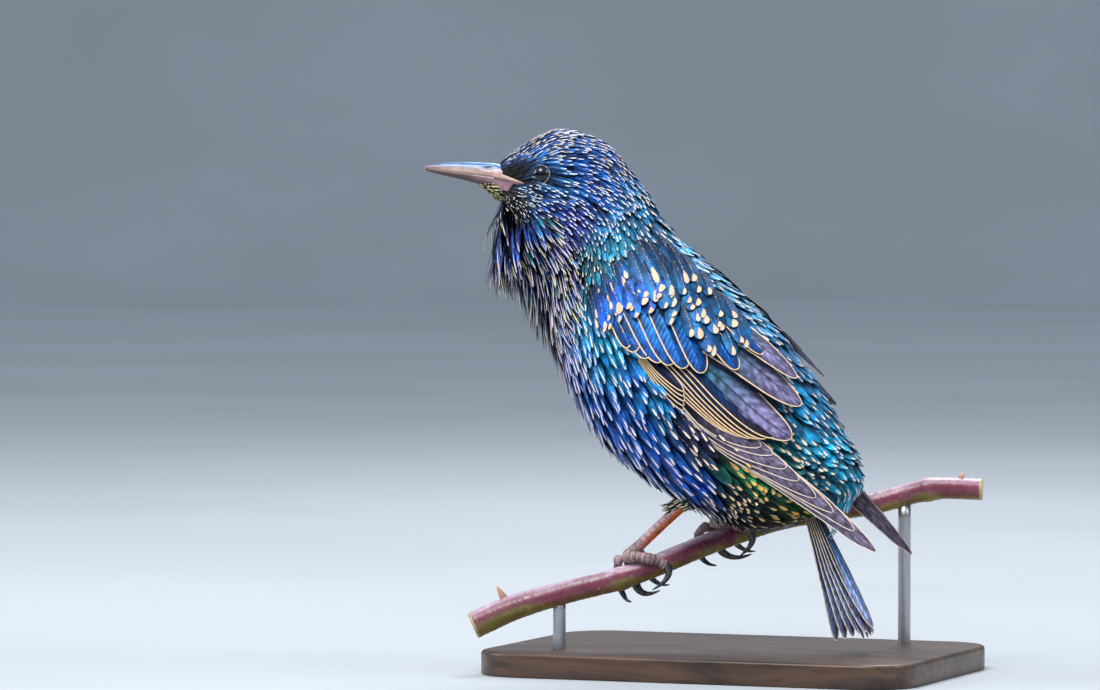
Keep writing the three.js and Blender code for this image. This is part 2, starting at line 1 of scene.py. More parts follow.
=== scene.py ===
import math
import bpy
import numpy as np
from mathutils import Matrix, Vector


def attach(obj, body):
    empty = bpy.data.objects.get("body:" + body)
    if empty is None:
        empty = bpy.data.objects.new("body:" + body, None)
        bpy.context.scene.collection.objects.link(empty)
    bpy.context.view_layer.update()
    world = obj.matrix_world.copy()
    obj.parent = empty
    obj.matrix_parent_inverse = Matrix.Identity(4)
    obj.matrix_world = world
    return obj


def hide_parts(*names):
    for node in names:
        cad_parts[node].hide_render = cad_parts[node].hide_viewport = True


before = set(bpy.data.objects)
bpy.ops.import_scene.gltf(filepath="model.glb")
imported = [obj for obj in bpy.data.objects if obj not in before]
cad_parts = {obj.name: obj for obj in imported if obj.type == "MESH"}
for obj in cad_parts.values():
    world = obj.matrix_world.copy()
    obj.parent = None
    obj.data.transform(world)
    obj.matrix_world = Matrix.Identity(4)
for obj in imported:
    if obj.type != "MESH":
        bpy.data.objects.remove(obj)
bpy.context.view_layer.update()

# A life-size common starling in winter plumage. Sizes are in millimetres in the bird's own frame,
# which faces -X with its left side towards -Y, until `place` turns them into metres.
birdOffset = np.array([-8.0, -6.0, 0.0])
photo = {"azimuth": 22, "elevation": 2, "mmPerPixel": 0.33, "lens": 200, "sensor": 36, "size": (1100, 690),
         "originPixel": (705, 672)}


def place(points):
    return (np.asarray(points, float) + birdOffset) / 1000


def linear(code):
    parts = np.array([int(code[i:i + 2], 16) / 255 for i in (0, 2, 4)])
    return np.where(parts <= 0.04045, parts / 12.92, ((parts + 0.055) / 1.055) ** 2.4)


def arrays(*values):  # brings numbers and arrays to one shape
    return np.broadcast_arrays(*(np.asarray(v, float) for v in values))


def blend(a, b, share):
    return a * (1 - share) + b * share


def opaque(colour):  # adds a last column of ones
    return np.concatenate([colour, np.ones(colour.shape[:-1] + (1,))], -1)


def smooth(x, low, high):  # 0 at low, 1 at high, and low may be the larger of the two
    t = np.clip((np.asarray(x, float) - low) / (high - low), 0, 1)
    return t * t * (3 - 2 * t)


def noise(p, size, seed=0):  # soft wandering value from 0 to 1, from a few turned sine waves
    rng = np.random.default_rng(seed + 11)
    total = 0
    for octave in range(5):
        direction = rng.normal(size=3)
        direction /= np.linalg.norm(direction)
        phase = rng.uniform(0, 6.28)
        wave = (p @ direction) * 2 * math.pi / (size * (1.9 ** (octave % 3 - 1)))
        total = total + np.sin(wave + phase + 1.3 * np.sin(wave * 0.37 + phase))
    return 0.5 + 0.5 * np.tanh(0.55 * total)


# The body's surface, by the rings of the CAD solid: x and height of the back, x and height of the
# belly, and half width
bodyRings = np.array([
    [-70.4, 167.8, -69.8, 159.8, 3.6], [-63.0, 173.6, -68.6, 153.5, 8.6],
    [-50.0, 179.2, -66.4, 146.8, 13.2], [-34.3, 173.8, -62.6, 134.6, 15.6],
    [-22.4, 159.6, -55.6, 121.6, 18.4], [-11.4, 144.4, -51.0, 106.4, 23.0],
    [6.6, 128.8, -44.4, 91.0, 26.6], [24.6, 112.6, -32.6, 75.2, 27.6],
    [39.4, 92.8, -15.4, 61.6, 26.0], [49.8, 75.6, 6.4, 50.8, 21.0],
    [53.2, 68.2, 17.0, 47.4, 16.5], [54.0, 62.2, 25.4, 47.6, 10.8],
    [50.8, 57.2, 31.6, 49.6, 6.8],
])
# A wing's surface leaves the body at this ring
wingStart = 5
wingRings = np.vstack([bodyRings[wingStart:wingStart + 4], [
    [50.8, 77.6, 6.5, 53.0, 23.0], [59.0, 64.5, 25.0, 42.5, 19.0], [68.0, 49.3, 44.0, 33.3, 15.0],
]])
headYaw = math.radians(22)
neckPivotX = -28.5
bellyFullness = 0.07


def ringAt(table, s):
    s = np.asarray(s, float)
    last = len(table) - 1
    inside = np.clip(s, 0, last)
    i = np.clip(np.floor(inside).astype(int), 0, last - 1)
    t = (inside - i)[..., None]
    a, b, d, e = (table[np.clip(i + k, 0, last)] for k in (-1, 0, 1, 2))
    value = b + 0.5 * t * (d - a + t * (2 * a - 5 * b + 4 * d - e + t * (3 * (b - d) + e - a)))
    beyond = (s - inside)[..., None]
    endSlope = table[last] - table[last - 1]
    startSlope = table[1] - table[0]
    return value + np.where(beyond > 0, endSlope, startSlope * 0.6) * beyond


def yawed(points, s):
    angle = headYaw * (1 - smooth(s, 2.3, 5.5))
    x = points[..., 0] - neckPivotX
    c, n = np.cos(angle), np.sin(angle)
    y = points[..., 1]
    return np.stack([neckPivotX + c * x - n * y, n * x + c * y, points[..., 2]], -1)


def onRings(table, s, degrees, lift):
    s, degrees, lift = arrays(s, degrees, lift)
    row = ringAt(table, s)
    depth = np.stack([row[..., 0] - row[..., 2], row[..., 1] - row[..., 3]], -1) / 2
    reach = np.linalg.norm(depth, axis=-1)
    up = depth / reach[..., None]
    angle = np.radians(degrees)
    c, n = np.cos(angle), np.sin(angle)
    far = (reach + lift) * c
    x = (row[..., 0] + row[..., 2]) / 2 + up[..., 0] * far
    z = (row[..., 1] + row[..., 3]) / 2 + up[..., 1] * far
    y = -(np.maximum(row[..., 4], 1) + lift) * n * (1 - bellyFullness * c)
    return np.stack([x, y, z], -1)


def onBody(s, degrees, lift):
    return yawed(onRings(bodyRings, s, degrees, lift), s)


def headPoint(x, y, z):
    return yawed(np.stack(arrays(x, y, z), -1), 0)


# The right wing hangs lower and looser, and its upper feathers lie closer to the back
looseWing = {"droop": np.array([2.8, 0, -2.6]), "lift": 1.2, "tertialSink": (1.2, 1.0), "scapularSink": 1.6}


def onWing(side):  # side is -1 for the left wing and 1 for the right one
    def surface(s, degrees, lift):
        s, degrees, lift = arrays(s, degrees, lift)
        loose = 1.0 if side > 0 else 0.0
        lift = lift + looseWing["lift"] * loose * smooth(s, 0.8, 2.5)
        points = onRings(wingRings, s, -side * degrees, lift)
        return points + looseWing["droop"] * (loose * smooth(s, 0.8, 6.2))[..., None]
    return surface


# Meshes
def addColours(mesh, colours):
    for name, rgba in colours.items():
        attribute = mesh.color_attributes.new(name, "FLOAT_COLOR", "POINT")
        attribute.data.foreach_set("color", np.asarray(rgba, np.float32).ravel())


def addPiece(name, mesh, material, replaces):
    obj = bpy.data.objects.new(name, mesh)
    bpy.context.scene.collection.objects.link(obj)
    mesh.materials.append(material)
    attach(obj, "root")
    if replaces:
        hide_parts(*replaces)


def quadPiece(name, verts, faces, material, replaces, uvs, colours):
    mesh = bpy.data.meshes.new(name)
    count, size = faces.shape
    corners = np.asarray(faces, np.int32).ravel()
    mesh.vertices.add(len(verts))
    mesh.vertices.foreach_set("co", np.asarray(verts, np.float32).ravel())
    mesh.loops.add(count * size)
    mesh.loops.foreach_set("vertex_index", corners)
    mesh.polygons.add(count)
    mesh.polygons.foreach_set("loop_start", np.arange(0, count * size, size, dtype=np.int32))
    mesh.update(calc_edges=True)
    mesh.polygons.foreach_set("use_smooth", np.ones(count, bool))
    for uvName, uv in uvs.items():
        layer = mesh.uv_layers.new(name=uvName)
        layer.data.foreach_set("uv", np.asarray(uv, np.float32)[corners].ravel())
    addColours(mesh, colours)
    mesh.validate()
    addPiece(name, mesh, material, replaces)


def gridFaces(rows, columns, closed=False):
    i, j = np.meshgrid(np.arange(rows - 1), np.arange(columns if closed else columns - 1), indexing="ij")
    a = i * columns + j
    b = i * columns + (j + 1) % columns
    return np.stack([a, b, b + columns, a + columns], -1).reshape(-1, 4)


def loftPiece(name, rings, material, replaces=(), tint=None, caps=True):
    # joins rings (count, around, 3) into a body, with a fan over each end where caps is on
    rings = np.asarray(rings, float)
    count, around = rings.shape[:2]
    verts = np.vstack([rings.reshape(-1, 3), rings[0].mean(0), rings[-1].mean(0)])
    faces = gridFaces(count, around, True).tolist()
    if caps:
        sides = [(j, (j + 1) % around) for j in range(around)]
        startMiddle, lastRing = count * around, (count - 1) * around
        faces += [(startMiddle, k, j) for j, k in sides]
        faces += [(startMiddle + 1, lastRing + j, lastRing + k) for j, k in sides]
    mesh = bpy.data.meshes.new(name)
    mesh.from_pydata(place(verts).tolist(), [], faces)
    mesh.polygons.foreach_set("use_smooth", np.ones(len(faces), bool))
    loopVerts = np.zeros(len(mesh.loops), np.int32)
    mesh.loops.foreach_get("vertex_index", loopVerts)
    along = np.append(np.repeat(np.arange(count) / (count - 1), around), [0, 1])
    turn = np.append(np.tile(np.arange(around) / around, count), [0, 0])
    layer = mesh.uv_layers.new(name="around")
    layer.data.foreach_set("uv", np.stack([turn, along], -1)[loopVerts].astype(np.float32).ravel())
    if tint is not None:
        tint = opaque(np.asarray(tint))
        addColours(mesh, {"tint": np.vstack([tint.reshape(-1, 4), tint[0].mean(0), tint[-1].mean(0)])})
    addPiece(name, mesh, material, replaces)


def circle(count):  # angles round a circle, the last one short of the first
    return np.linspace(0, 2 * math.pi, count, endpoint=False)


# Material helpers
class Nodes:
    def __init__(self, name):
        self.material = bpy.data.materials.new(name)
        self.material.use_nodes = True
        self.tree = self.material.node_tree
        self.tree.nodes.clear()
        self.out = self.tree.nodes.new("ShaderNodeOutputMaterial")
        self.shader = self.tree.nodes.new("ShaderNodeBsdfPrincipled")
        self.tree.links.new(self.shader.outputs[0], self.out.inputs[0])

    def add(self, kind, **settings):
        node = self.tree.nodes.new("ShaderNode" + kind)
        for key, value in settings.items():
            setattr(node, key, value)
        return node

    def link(self, a, b):
        self.tree.links.new(a, b)

    def put(self, socket, value):
        if isinstance(value, bpy.types.NodeSocket):
            self.link(value, socket)
        else:
            socket.default_value = value

    def math(self, operation, a, b=0.0, c=0.0):
        node = self.add("Math", operation=operation)
        for socket, value in zip(node.inputs, (a, b, c)):
            self.put(socket, value)
        return node.outputs[0]

    def ramp(self, value, low, high, outLow=0.0, outHigh=1.0):
        node = self.add("MapRange", interpolation_type="SMOOTHSTEP")
        sockets = ("Value", "From Min", "From Max", "To Min", "To Max")
        for key, v in zip(sockets, (value, low, high, outLow, outHigh)):
            self.put(node.inputs[key], v)
        return node.outputs[0]

    def mix(self, factor, a, b, blendType="MIX"):
        node = self.add("Mix", data_type="RGBA", blend_type=blendType)
        for index, v in ((0, factor), (6, a), (7, b)):  # inputs 6 and 7 and output 2 are its colours
            self.put(node.inputs[index], v)
        return node.outputs[2]

    def shaded(self, colour, value):  # a colour made darker or lighter by a grey value
        grey = self.add("CombineColor")
        for socket in grey.inputs[:3]:
            self.link(value, socket)
        return self.mix(1.0, colour, grey.outputs[0], "MULTIPLY")

    def colour(self, name, output="Color"):
        return self.add("Attribute", attribute_name=name).outputs[output]

    def stretched(self, scale):  # object coordinates, scaled by axis
        mapping = self.add("Mapping")
        mapping.inputs["Scale"].default_value = scale
        self.link(self.add("TexCoord").outputs["Object"], mapping.inputs["Vector"])
        return mapping.outputs[0]

    def uv(self, name):
        node = self.add("UVMap", uv_map=name)
        split = self.add("SeparateXYZ")
        self.link(node.outputs[0], split.inputs[0])
        return split.outputs[0], split.outputs[1]

    def noiseTexture(self, scale, detail=3, coordinate=None, distortion=0.0):
        node = self.add("TexNoise")
        node.inputs["Scale"].default_value = scale
        node.inputs["Detail"].default_value = detail
        node.inputs["Distortion"].default_value = distortion
        if coordinate is None:
            coordinate = self.add("TexCoord").outputs["Object"]
        self.link(coordinate, node.inputs["Vector"])
        return node.outputs["Fac"]

    def bump(self, height, strength, distance):
        node = self.add("Bump")
        node.inputs["Strength"].default_value = strength
        node.inputs["Distance"].default_value = distance
        self.link(height, node.inputs["Height"])
        self.link(node.outputs[0], self.shader.inputs["Normal"])

    def set(self, **values):
        for key, value in values.items():
            self.put(self.shader.inputs[key.replace("_", " ")], value)
        return self.material


# Vane material for every feather. "tint" holds the feather's own colour and its edge's width,
# "tip" the colour of its tip spot or edge and the spot's length, and "extra" the spot's width,
# the distance to the rim and a shade. The edge's width and the distance to the rim are in
# centimetres, and the spot's length and width are shares of the vane's.
# vaneLook holds the strength of the painted highlight and shade along the barbs, and the painted shade from
# each feather's covered root (rootShade) to its free part (fullShade).
vaneLook = {"barbs": 46, "barbSlope": 5.5, "barbHighlight": 0.45, "metal": 0.62, "roughness": 0.4,
            "rootShade": 0.3, "fullShade": 1.05, "shaft": (0.02, 0.018, 0.03, 1), "shaftShare": 0.75}


def vaneMaterial(name, edged):
    m = Nodes(name)
    u, v = m.uv("vane")
    across = m.math("ABSOLUTE", m.math("MULTIPLY_ADD", u, 2.0, -1.0))
    parts = m.add("SeparateColor")
    m.link(m.colour("extra"), parts.inputs[0])
    spotWide, rim, shade = parts.outputs[:3]
    slant = m.math("MULTIPLY", across, vaneLook["barbSlope"])
    barbPhase = m.math("SUBTRACT", m.math("MULTIPLY", v, vaneLook["barbs"]), slant)
    wobble = m.math("MULTIPLY", m.noiseTexture(900, 2), 5.0)
    barb = m.math("SINE", m.math("ADD", m.math("MULTIPLY", barbPhase, 2.2), wobble))
    # Painted highlights on the barbs and painted shade between them: the barb waves brighten and darken the
    # vane's colour. The same waves also give the bump.
    lit = m.math("MULTIPLY_ADD", barb, vaneLook["barbHighlight"] * 0.5, 1.0)
    streaks = m.ramp(m.noiseTexture(420, 4), 0.3, 0.75, 0.55, 1.5)
    ownShade = m.math("MULTIPLY_ADD", shade, 0.9, 0.55)
    # Painted shade: each vane darkens towards its root, which the feathers over it cover.
    coveredRootShade = m.ramp(v, 0.15, 0.8, vaneLook["rootShade"], vaneLook["fullShade"])
    value = m.math("MULTIPLY", m.math("MULTIPLY", m.math("MULTIPLY", lit, streaks), ownShade), coveredRootShade)
    base = m.shaded(m.colour("tint"), value)
    if edged:
        inside = m.math("MULTIPLY", m.math("SUBTRACT", rim, m.colour("tint", "Alpha")), 10.0)
        mask = m.ramp(inside, 0.16, -0.12)
        # Painted shade: each flight feather darkens towards its rim, just inside its pale edge.
        base = m.shaded(base, m.ramp(inside, 0.2, 4.0, 0.4, 1.0))
        shaft = m.math("MULTIPLY", m.ramp(across, 0.09, 0.02), vaneLook["shaftShare"])
        base = m.mix(shaft, base, vaneLook["shaft"])
    else:
        length = m.colour("tip", "Alpha")
        start = m.math("SUBTRACT", v, m.math("SUBTRACT", 1.0, length))
        wedge = m.math("DIVIDE", start, m.math("MAXIMUM", length, 0.01))
        limit = m.math("MULTIPLY", spotWide, m.math("POWER", m.math("MAXIMUM", wedge, 0.0), 0.8))
        ragged = m.math("MULTIPLY_ADD", m.noiseTexture(1500, 2), 0.3, -0.15)
        mask = m.ramp(m.math("SUBTRACT", limit, m.math("ADD", across, ragged)), -0.06, 0.1)
        mask = m.math("MULTIPLY", mask, m.math("GREATER_THAN", length, 0.03))
    # The barb waves also paint a faint highlight on the tip spot.
    tipColour = m.shaded(m.colour("tip"), m.math("MULTIPLY_ADD", barb, 0.08, 0.95))
    shaftRidge = m.math("MULTIPLY", m.ramp(across, 0.12, 0.0), 1.5)
    m.bump(m.math("ADD", m.math("MULTIPLY", barb, 0.5), shaftRidge), 0.35, 0.00012)
    gloss = m.math("MULTIPLY_ADD", mask, 0.25, vaneLook["roughness"])
    metal = m.math("MULTIPLY_ADD", mask, -vaneLook["metal"], vaneLook["metal"])
    return m.set(Base_Color=m.mix(mask, base, tipColour), Roughness=gloss, Metallic=metal,
                 Specular_IOR_Level=0.4, Coat_Weight=0.05, Coat_Roughness=0.25)


def skinMaterial():
    m = Nodes("downySkin")
    fluff = m.ramp(m.noiseTexture(700, 4), 0.3, 0.7, 0.3, 0.8)
    m.bump(m.noiseTexture(1200, 3), 0.5, 0.0003)
    return m.set(Base_Color=m.shaded(m.colour("tint"), fluff), Roughness=0.8)


coatMaterial = vaneMaterial("smallFeathers", False)
flightMaterial = vaneMaterial("flightFeathers", True)
downySkin = skinMaterial()
print("stage: surfaces and materials ready")

# Markings and one painted shadow, each row at one place of the body: ring, degrees from the back (0) to the
# belly (180), feather length and width, two plumage colours, tip colour, and the pale shares of length and
# width
markingsAndShadow = [
    (0.3, 20, 2.8, 1.0, "1c3460", "4470a4", "fbeede", 0.5, 0.6),
    (0.9, 42, 3.2, 1.1, "0c2450", "2058a4", "f8ecdc", 0.4, 0.55),
    (0.5, 80, 2.4, 1.0, "030304", "06070c", "050507", 0.0, 0.0),
    (0.9, 86, 2.6, 1.0, "030406", "060a14", "050507", 0.0, 0.0),
    (0.4, 170, 2.6, 1.0, "3a3220", "5c5034", "f4e2a8", 0.45, 0.6),
    (1.6, 15, 4.8, 1.4, "061e48", "0c58a4", "fdead4", 0.42, 0.65),
    (1.6, 60, 4.2, 1.3, "051e46", "0c5ca4", "fbf0e2", 0.32, 0.55),
    (1.6, 108, 3.6, 1.2, "02101e", "063c62", "f0faff", 0.3, 0.55),
    (1.3, 126, 3.2, 1.1, "020204", "03080e", "fff8ee", 0.26, 0.55),
    (1.5, 150, 3.6, 1.2, "020203", "04050c", "fff6e8", 0.3, 0.6),
    (2.0, 172, 3.8, 1.2, "020203", "07081a", "fbf4ff", 0.3, 0.55),
    (3.0, 20, 6.5, 1.7, "06265a", "0c5ca4", "fbe4cc", 0.32, 0.55),
    (2.9, 60, 6.5, 1.6, "082c68", "145cb8", "fdf2e4", 0.3, 0.55),
    (2.4, 84, 6.0, 1.6, "053268", "0a6cac", "ffffff", 0.3, 0.55),
    (2.7, 108, 5.6, 1.6, "061c50", "0e489c", "ffffff", 0.3, 0.55),
    (3.2, 92, 6.0, 1.6, "101c60", "2c3890", "ffffff", 0.3, 0.55),
    (2.8, 140, 6.0, 1.6, "030410", "081038", "ffffff", 0.24, 0.5),
    # Painted shadow: dark feathers under the ear coverts, standing in for the shade beneath the cheek's ruff.
    (3.8, 108, 6.5, 1.8, "020308", "040a24", "c8d0e8", 0.1, 0.3),
    (3.8, 165, 7.0, 1.8, "04081c", "0a1a4c", "e8e4f4", 0.3, 0.4),
    (4.3, 15, 9.0, 2.5, "07507c", "0a7cb0", "fbe0c6", 0.26, 0.62),
    (4.6, 66, 9.0, 2.5, "06466c", "0a80a0", "f8e0c8", 0.22, 0.55),
    (4.2, 92, 8.0, 2.2, "042c40", "086478", "fdf0e0", 0.2, 0.5),
    (5.6, 12, 11.0, 3.8, "066088", "0a84b4", "f8cfa8", 0.22, 0.55),
    (5.6, 45, 11.0, 3.8, "06608c", "0a7cb4", "f8cfa8", 0.22, 0.55),
    (7.2, 12, 11.5, 4.0, "08548c", "0e8cc0", "f8d6b4", 0.22, 0.5),
    (5.3, 104, 12.0, 2.8, "0a5ca8", "0c9cc0", "f6f0d8", 0.4, 0.45),
    (5.2, 136, 13.0, 2.8, "1c58a8", "5078b0", "f8e4ec", 0.5, 0.5),
    (5.2, 172, 13.5, 2.8, "3a5c94", "8c90ac", "fff6f2", 0.7, 0.6),
    (6.5, 96, 13.0, 3.3, "0c5cb4", "0a80b8", "fbe6dc", 0.28, 0.5),
    (6.5, 130, 14.0, 3.4, "0c50b8", "2468b4", "fdeef4", 0.34, 0.52),
    (6.5, 172, 14.0, 3.2, "24549c", "7080a8", "ffffff", 0.6, 0.6),
    (7.4, 92, 14.0, 4.2, "16183c", "2c2850", "fae4cc", 0.26, 0.6),
    (7.7, 122, 14.5, 4.2, "0a48bc", "0c60b8", "ffeedc", 0.27, 0.6),
    (7.7, 160, 14.0, 3.8, "084c98", "0a3c70", "ffffff", 0.4, 0.55),
    (8.3, 90, 13.0, 4.6, "064434", "0a7448", "f6c068", 0.32, 0.8),
    (8.7, 112, 13.5, 4.5, "0a1c2c", "102c34", "f8d89c", 0.28, 0.7),
    (8.7, 160, 13.0, 3.5, "062c40", "081c24", "ffffff", 0.36, 0.42),
    (9.5, 90, 12.0, 4.6, "06402c", "0a7040", "f4b85c", 0.34, 0.8),
    (9.7, 118, 12.0, 4.5, "04140e", "0a3828", "f8c878", 0.32, 0.72),
    (9.6, 155, 11.0, 3.4, "04060c", "081420", "fff4e4", 0.34, 0.42),
    (10.8, 100, 10.0, 3.2, "0a3414", "1c6c1c", "f4cc70", 0.3, 0.5),
    (10.8, 150, 10.5, 3.0, "030405", "060a10", "ffffff", 0.45, 0.45),
    (11.6, 165, 10.5, 2.9, "030405", "060a10", "ffffff", 0.5, 0.5),
    (8.8, 10, 11.5, 4.0, "045878", "0c94c0", "f8dcc4", 0.28, 0.5),
    (10.2, 15, 11.0, 3.8, "046488", "12a4c8", "fadcc2", 0.32, 0.55),
    (11.6, 25, 10.5, 3.6, "0878a0", "18b0d4", "ffffff", 0.36, 0.55),
    (9.6, 60, 10.5, 3.8, "044860", "0c7c9c", "f8d8b8", 0.3, 0.6),
]
markAt = np.array([m[:2] for m in markingsAndShadow])
markSizes = np.array([[m[2], m[3], m[7], m[8]] for m in markingsAndShadow])
markAndShadowColours = np.array([np.concatenate([linear(code) for code in m[4:7]]) for m in markingsAndShadow])
markSpread = {"degrees": 24, "soft": 0.03, "power": 2.2}


def markingAndShadowAt(s, degrees):
    d = np.abs((np.asarray(degrees) + 180) % 360 - 180)
    gap = (s[:, None] - markAt[:, 0]) ** 2 + ((d[:, None] - markAt[:, 1]) / markSpread["degrees"]) ** 2
    weight = 1 / (gap + markSpread["soft"]) ** markSpread["power"]
    weight /= weight.sum(1, keepdims=True)
    return weight @ markSizes, weight @ markAndShadowColours


# Feathers over a surface
vaneRows = np.array([0, 0.2, 0.42, 0.62, 0.78, 0.9, 0.97, 1.0])
vaneColumns = np.array([-1, -0.5, 0, 0.5, 1])
ringStep = 0.05
bakePatch = {"small": 0.003, "flight": 0.012}  # side of one feather's patch on the OFBake map
bakeRings = 14  # rings that the map's width spans


def leafWidth(t, point, root=0.35, growth=1.6):  # outline of a vane, from 0 at its root to 1 at its tip
    return np.minimum(1, root + growth * t) * np.clip(1 - t ** point, 0, 1) ** 0.5


def span(surface, s, deg, rings, degrees):  # distance between two points either side of a place
    gap = surface(s + rings, deg + degrees, 0) - surface(s - rings, deg - degrees, 0)
    return np.linalg.norm(gap, axis=-1)


def vaneFaces(rows, columns, count):  # the faces of a number of vanes that follow one another
    faces = gridFaces(rows, columns)
    return (faces[None] + (np.arange(count) * rows * columns)[:, None, None]).reshape(-1, 4)


def layVanes(surface, f, point=3.2, liftPower=1.25):
    keys = ("s", "deg", "length", "width", "drift", "base", "rise", "arch", "tilt")
    s, deg, length, width, drift, base, rise, arch, tilt = (f[key][:, None, None] for key in keys)
    perRing = span(surface, f["s"], f["deg"], ringStep, 0) / (2 * ringStep)
    perDegree = span(surface, f["s"], f["deg"], 0, 1) / 2
    perRing, perDegree = np.maximum(perRing, 3)[:, None, None], np.maximum(perDegree, 0.03)[:, None, None]
    t, x = vaneRows[None, :, None], vaneColumns[None, None, :]
    w, half = leafWidth(t, point), width / 2
    sideways = x * w * half + drift * t ** 1.3 * length
    lift = base + rise * t ** liftPower - arch * (x * w) ** 2 + tilt * x * w
    verts = surface(s + t * length / perRing, deg + sideways / perDegree, lift)
    shape = (len(f["s"]), len(vaneRows), len(vaneColumns))
    uv = np.broadcast_to(np.stack(np.broadcast_arrays((x + 1) / 2, t), -1), shape + (2,))
    rim = np.broadcast_to(np.minimum((1 - np.abs(x)) * w * half, (1 - t) * length * 0.9), shape)
    return verts.reshape(-1, 3), vaneFaces(shape[1], shape[2], shape[0]), uv.reshape(-1, 2), rim.reshape(-1)


def feathersPiece(name, surface, f, slot, **shape):
    verts, faces, uv, rim = layVanes(surface, f, **shape)
    n = len(f["s"])
    each = lambda *columns: np.repeat(np.column_stack(columns), len(verts) // n, axis=0)
    extra = [each(f["tipWidth"]), np.clip(rim / 10, 0, 1), each(f["shade"], np.ones(n))]
    colours = {"tint": each(f["tint"], np.zeros(n)), "tip": each(f["tip"], f["tipLength"]),
               "extra": np.column_stack(extra)}
    root = np.clip(each(f["bakeU"], f["bakeV"]), 0.01, 0.99)
    print(f"stage: {name}: {n} feathers, {len(faces) * 2} triangles")
    quadPiece(name, place(verts), faces, coatMaterial, (),
              {"vane": uv, "OFBake": root + (uv - 0.5) * bakePatch["small"]}, colours)


def scatter(sRange, degRange, rowStep, columnStep, surface, seed):  # places in uneven rows over a surface
    rng = np.random.default_rng(seed)
    middle, wide = (degRange[0] + degRange[1]) / 2, degRange[1] - degRange[0]
    probe = np.array([middle - 0.3 * wide, middle, middle + 0.3 * wide])
    s, row, points = sRange[0], 0, []
    while s < sRange[1]:
        deg = degRange[0] + row % 2
        while deg < degRange[1]:
            points.append((s, deg))
            deg += columnStep / max(span(surface, s, deg, 0, 1) / 2, 0.04)
        s += rowStep / max(span(surface, s, probe, ringStep, 0).mean() * 10, 4)
        row += 1
    points = np.array(points)
    jitter = rng.normal(size=points.shape) * [0.028 * rowStep / 2, 1.6]
    return points + jitter, rng


def sweepBack(s, side):  # the cheek's feathers point back more than the rings do
    side = np.abs(side)
    return 0.42 * smooth(s, 0.8, 1.6) * smooth(s, 4.2, 3.0) * smooth(side, 20, 60) * smooth(side, 150, 110)


eyeCentre = {side: headPoint(-55.9, side * 10.6, 164.0) for side in (-1, 1)}


def eyeAxis(side):
    axis = headPoint(-56.12, side * 11.6, 164.12) - eyeCentre[side]
    return axis / np.linalg.norm(axis)


# The corner of the mouth: x and half width of its line, from the bill to the corner
gapeWidth = [(-73, 3.2), (-70.5, 3.7), (-69, 4.9), (-67.5, 6.9), (-66, 8.5), (-64.5, 9.8), (-63, 10.9),
             (-61.6, 11.7)]
cornerX = gapeWidth[-1][0]


def gape(x):  # by x: half width, height of the line, and reach above and below it
    wide = np.interp(x, *zip(*gapeWidth))
    height = np.interp(x, [-72, cornerX], [163.1, 161.0])
    above = 2.3 * np.clip((cornerX - x) / 11.4, 0, 1) ** 0.8 + 0.12
    below = 3.0 * smooth(x, -64.8, -67.5) + 0.5 * smooth(x, cornerX, -64) + 0.12
    return wide, height, above, below


def inGape(points):
    c, n = math.cos(headYaw), math.sin(headYaw)
    x = neckPivotX + c * (points[:, 0] - neckPivotX) + n * points[:, 1]
    _, height, above, below = gape(x)
    up = points[:, 2] - height
    return (x > -72.5) & (x < -61.8) & (up < above + 0.15) & (up > -below - 0.15)


def underWing(s, side):
    ring, side = s - wingStart, np.abs(side)
    upper = 38 - 6 * smooth(ring, 0.5, 1.8) + 16 * smooth(ring, 1.9, 2.8)
    lower = 88 - 12 * smooth(ring, 1.8, 3.0)
    return (ring > 0.35) & (ring < 3.0) & (side > upper) & (side < lower)


def bareFace(s, deg, side):  # on or just before an eye or a corner of the mouth
    bare = np.zeros(len(s), bool)
    for which in (-1, 1):
        front = eyeCentre[which] + eyeAxis(which) * 3
        for ahead, gap in ((0, 3.3), (0.12, 3.2)):
            bare |= np.linalg.norm(onBody(s + ahead, deg, 0) - front, axis=1) <= gap
    for ahead in (0, 0.12, 0.22):
        bare |= (np.abs(side) > 30) & inGape(onBody(s + ahead, deg, 0))
    return bare


def bodyCoat(name, sRange, degRange, rowStep, columnStep, seed, base, rise, point):
    pts, rng = scatter(sRange, degRange, rowStep, columnStep, onBody, seed)
    side = (pts[:, 1] + 180) % 360 - 180
    keep = ~(underWing(pts[:, 0], side) | bareFace(pts[:, 0], pts[:, 1], side))
    s, deg, side = pts[keep, 0], pts[keep, 1], side[keep]
    n = len(s)
    sizes, colours = markingAndShadowAt(s, deg)
    length, width, tipLength, tipWidth = sizes.T
    mixer = np.clip(noise(onBody(s, deg, 0), 9, 3) * 0.75 + rng.uniform(-0.15, 0.4, n), 0, 1)[:, None]
    tint = blend(colours[:, 0:3], colours[:, 3:6], mixer) * rng.uniform(0.7, 1.35, (n, 1))
    bare = rng.uniform(size=n) < 0.1
    f = {
        "s": s, "deg": deg, "length": length * rng.uniform(0.88, 1.12, n),
        "width": width * rng.uniform(0.9, 1.12, n),
        "drift": rng.normal(size=n) * np.where(s < 4, 0.03, 0.06) - np.sign(side) * sweepBack(s, side),
        "base": base + rng.uniform(-0.12, 0.12, n),
        "rise": rise * rng.uniform(0.75, 1.3, n) * np.clip(length / 9, 0.3, 1.2),
        "arch": 0.14 * width, "tilt": rng.normal(size=n) * 0.05,
        "tint": tint, "tip": colours[:, 6:9] * rng.uniform(0.85, 1.1, (n, 1)),
        "tipLength": np.where(bare, 0, tipLength * rng.uniform(0.75, 1.25, n)),
        "tipWidth": tipWidth * rng.uniform(0.8, 1.2, n), "shade": rng.uniform(0.25, 0.85, n),
        "bakeU": (s + 0.5) / bakeRings, "bakeV": ((deg + 180) % 360) / 360,
    }
    feathersPiece(name, onBody, f, "body_feathers", point=point)


# Skin
skinMesh = {"from": 0.02, "to": 12.0, "rows": 90, "around": 96, "shade": 0.6}


def skinDepth(s):
    return -0.75 - 0.75 * smooth(s, 1.0, 4.5) - 1.6 * smooth(s, 10.6, 11.6)


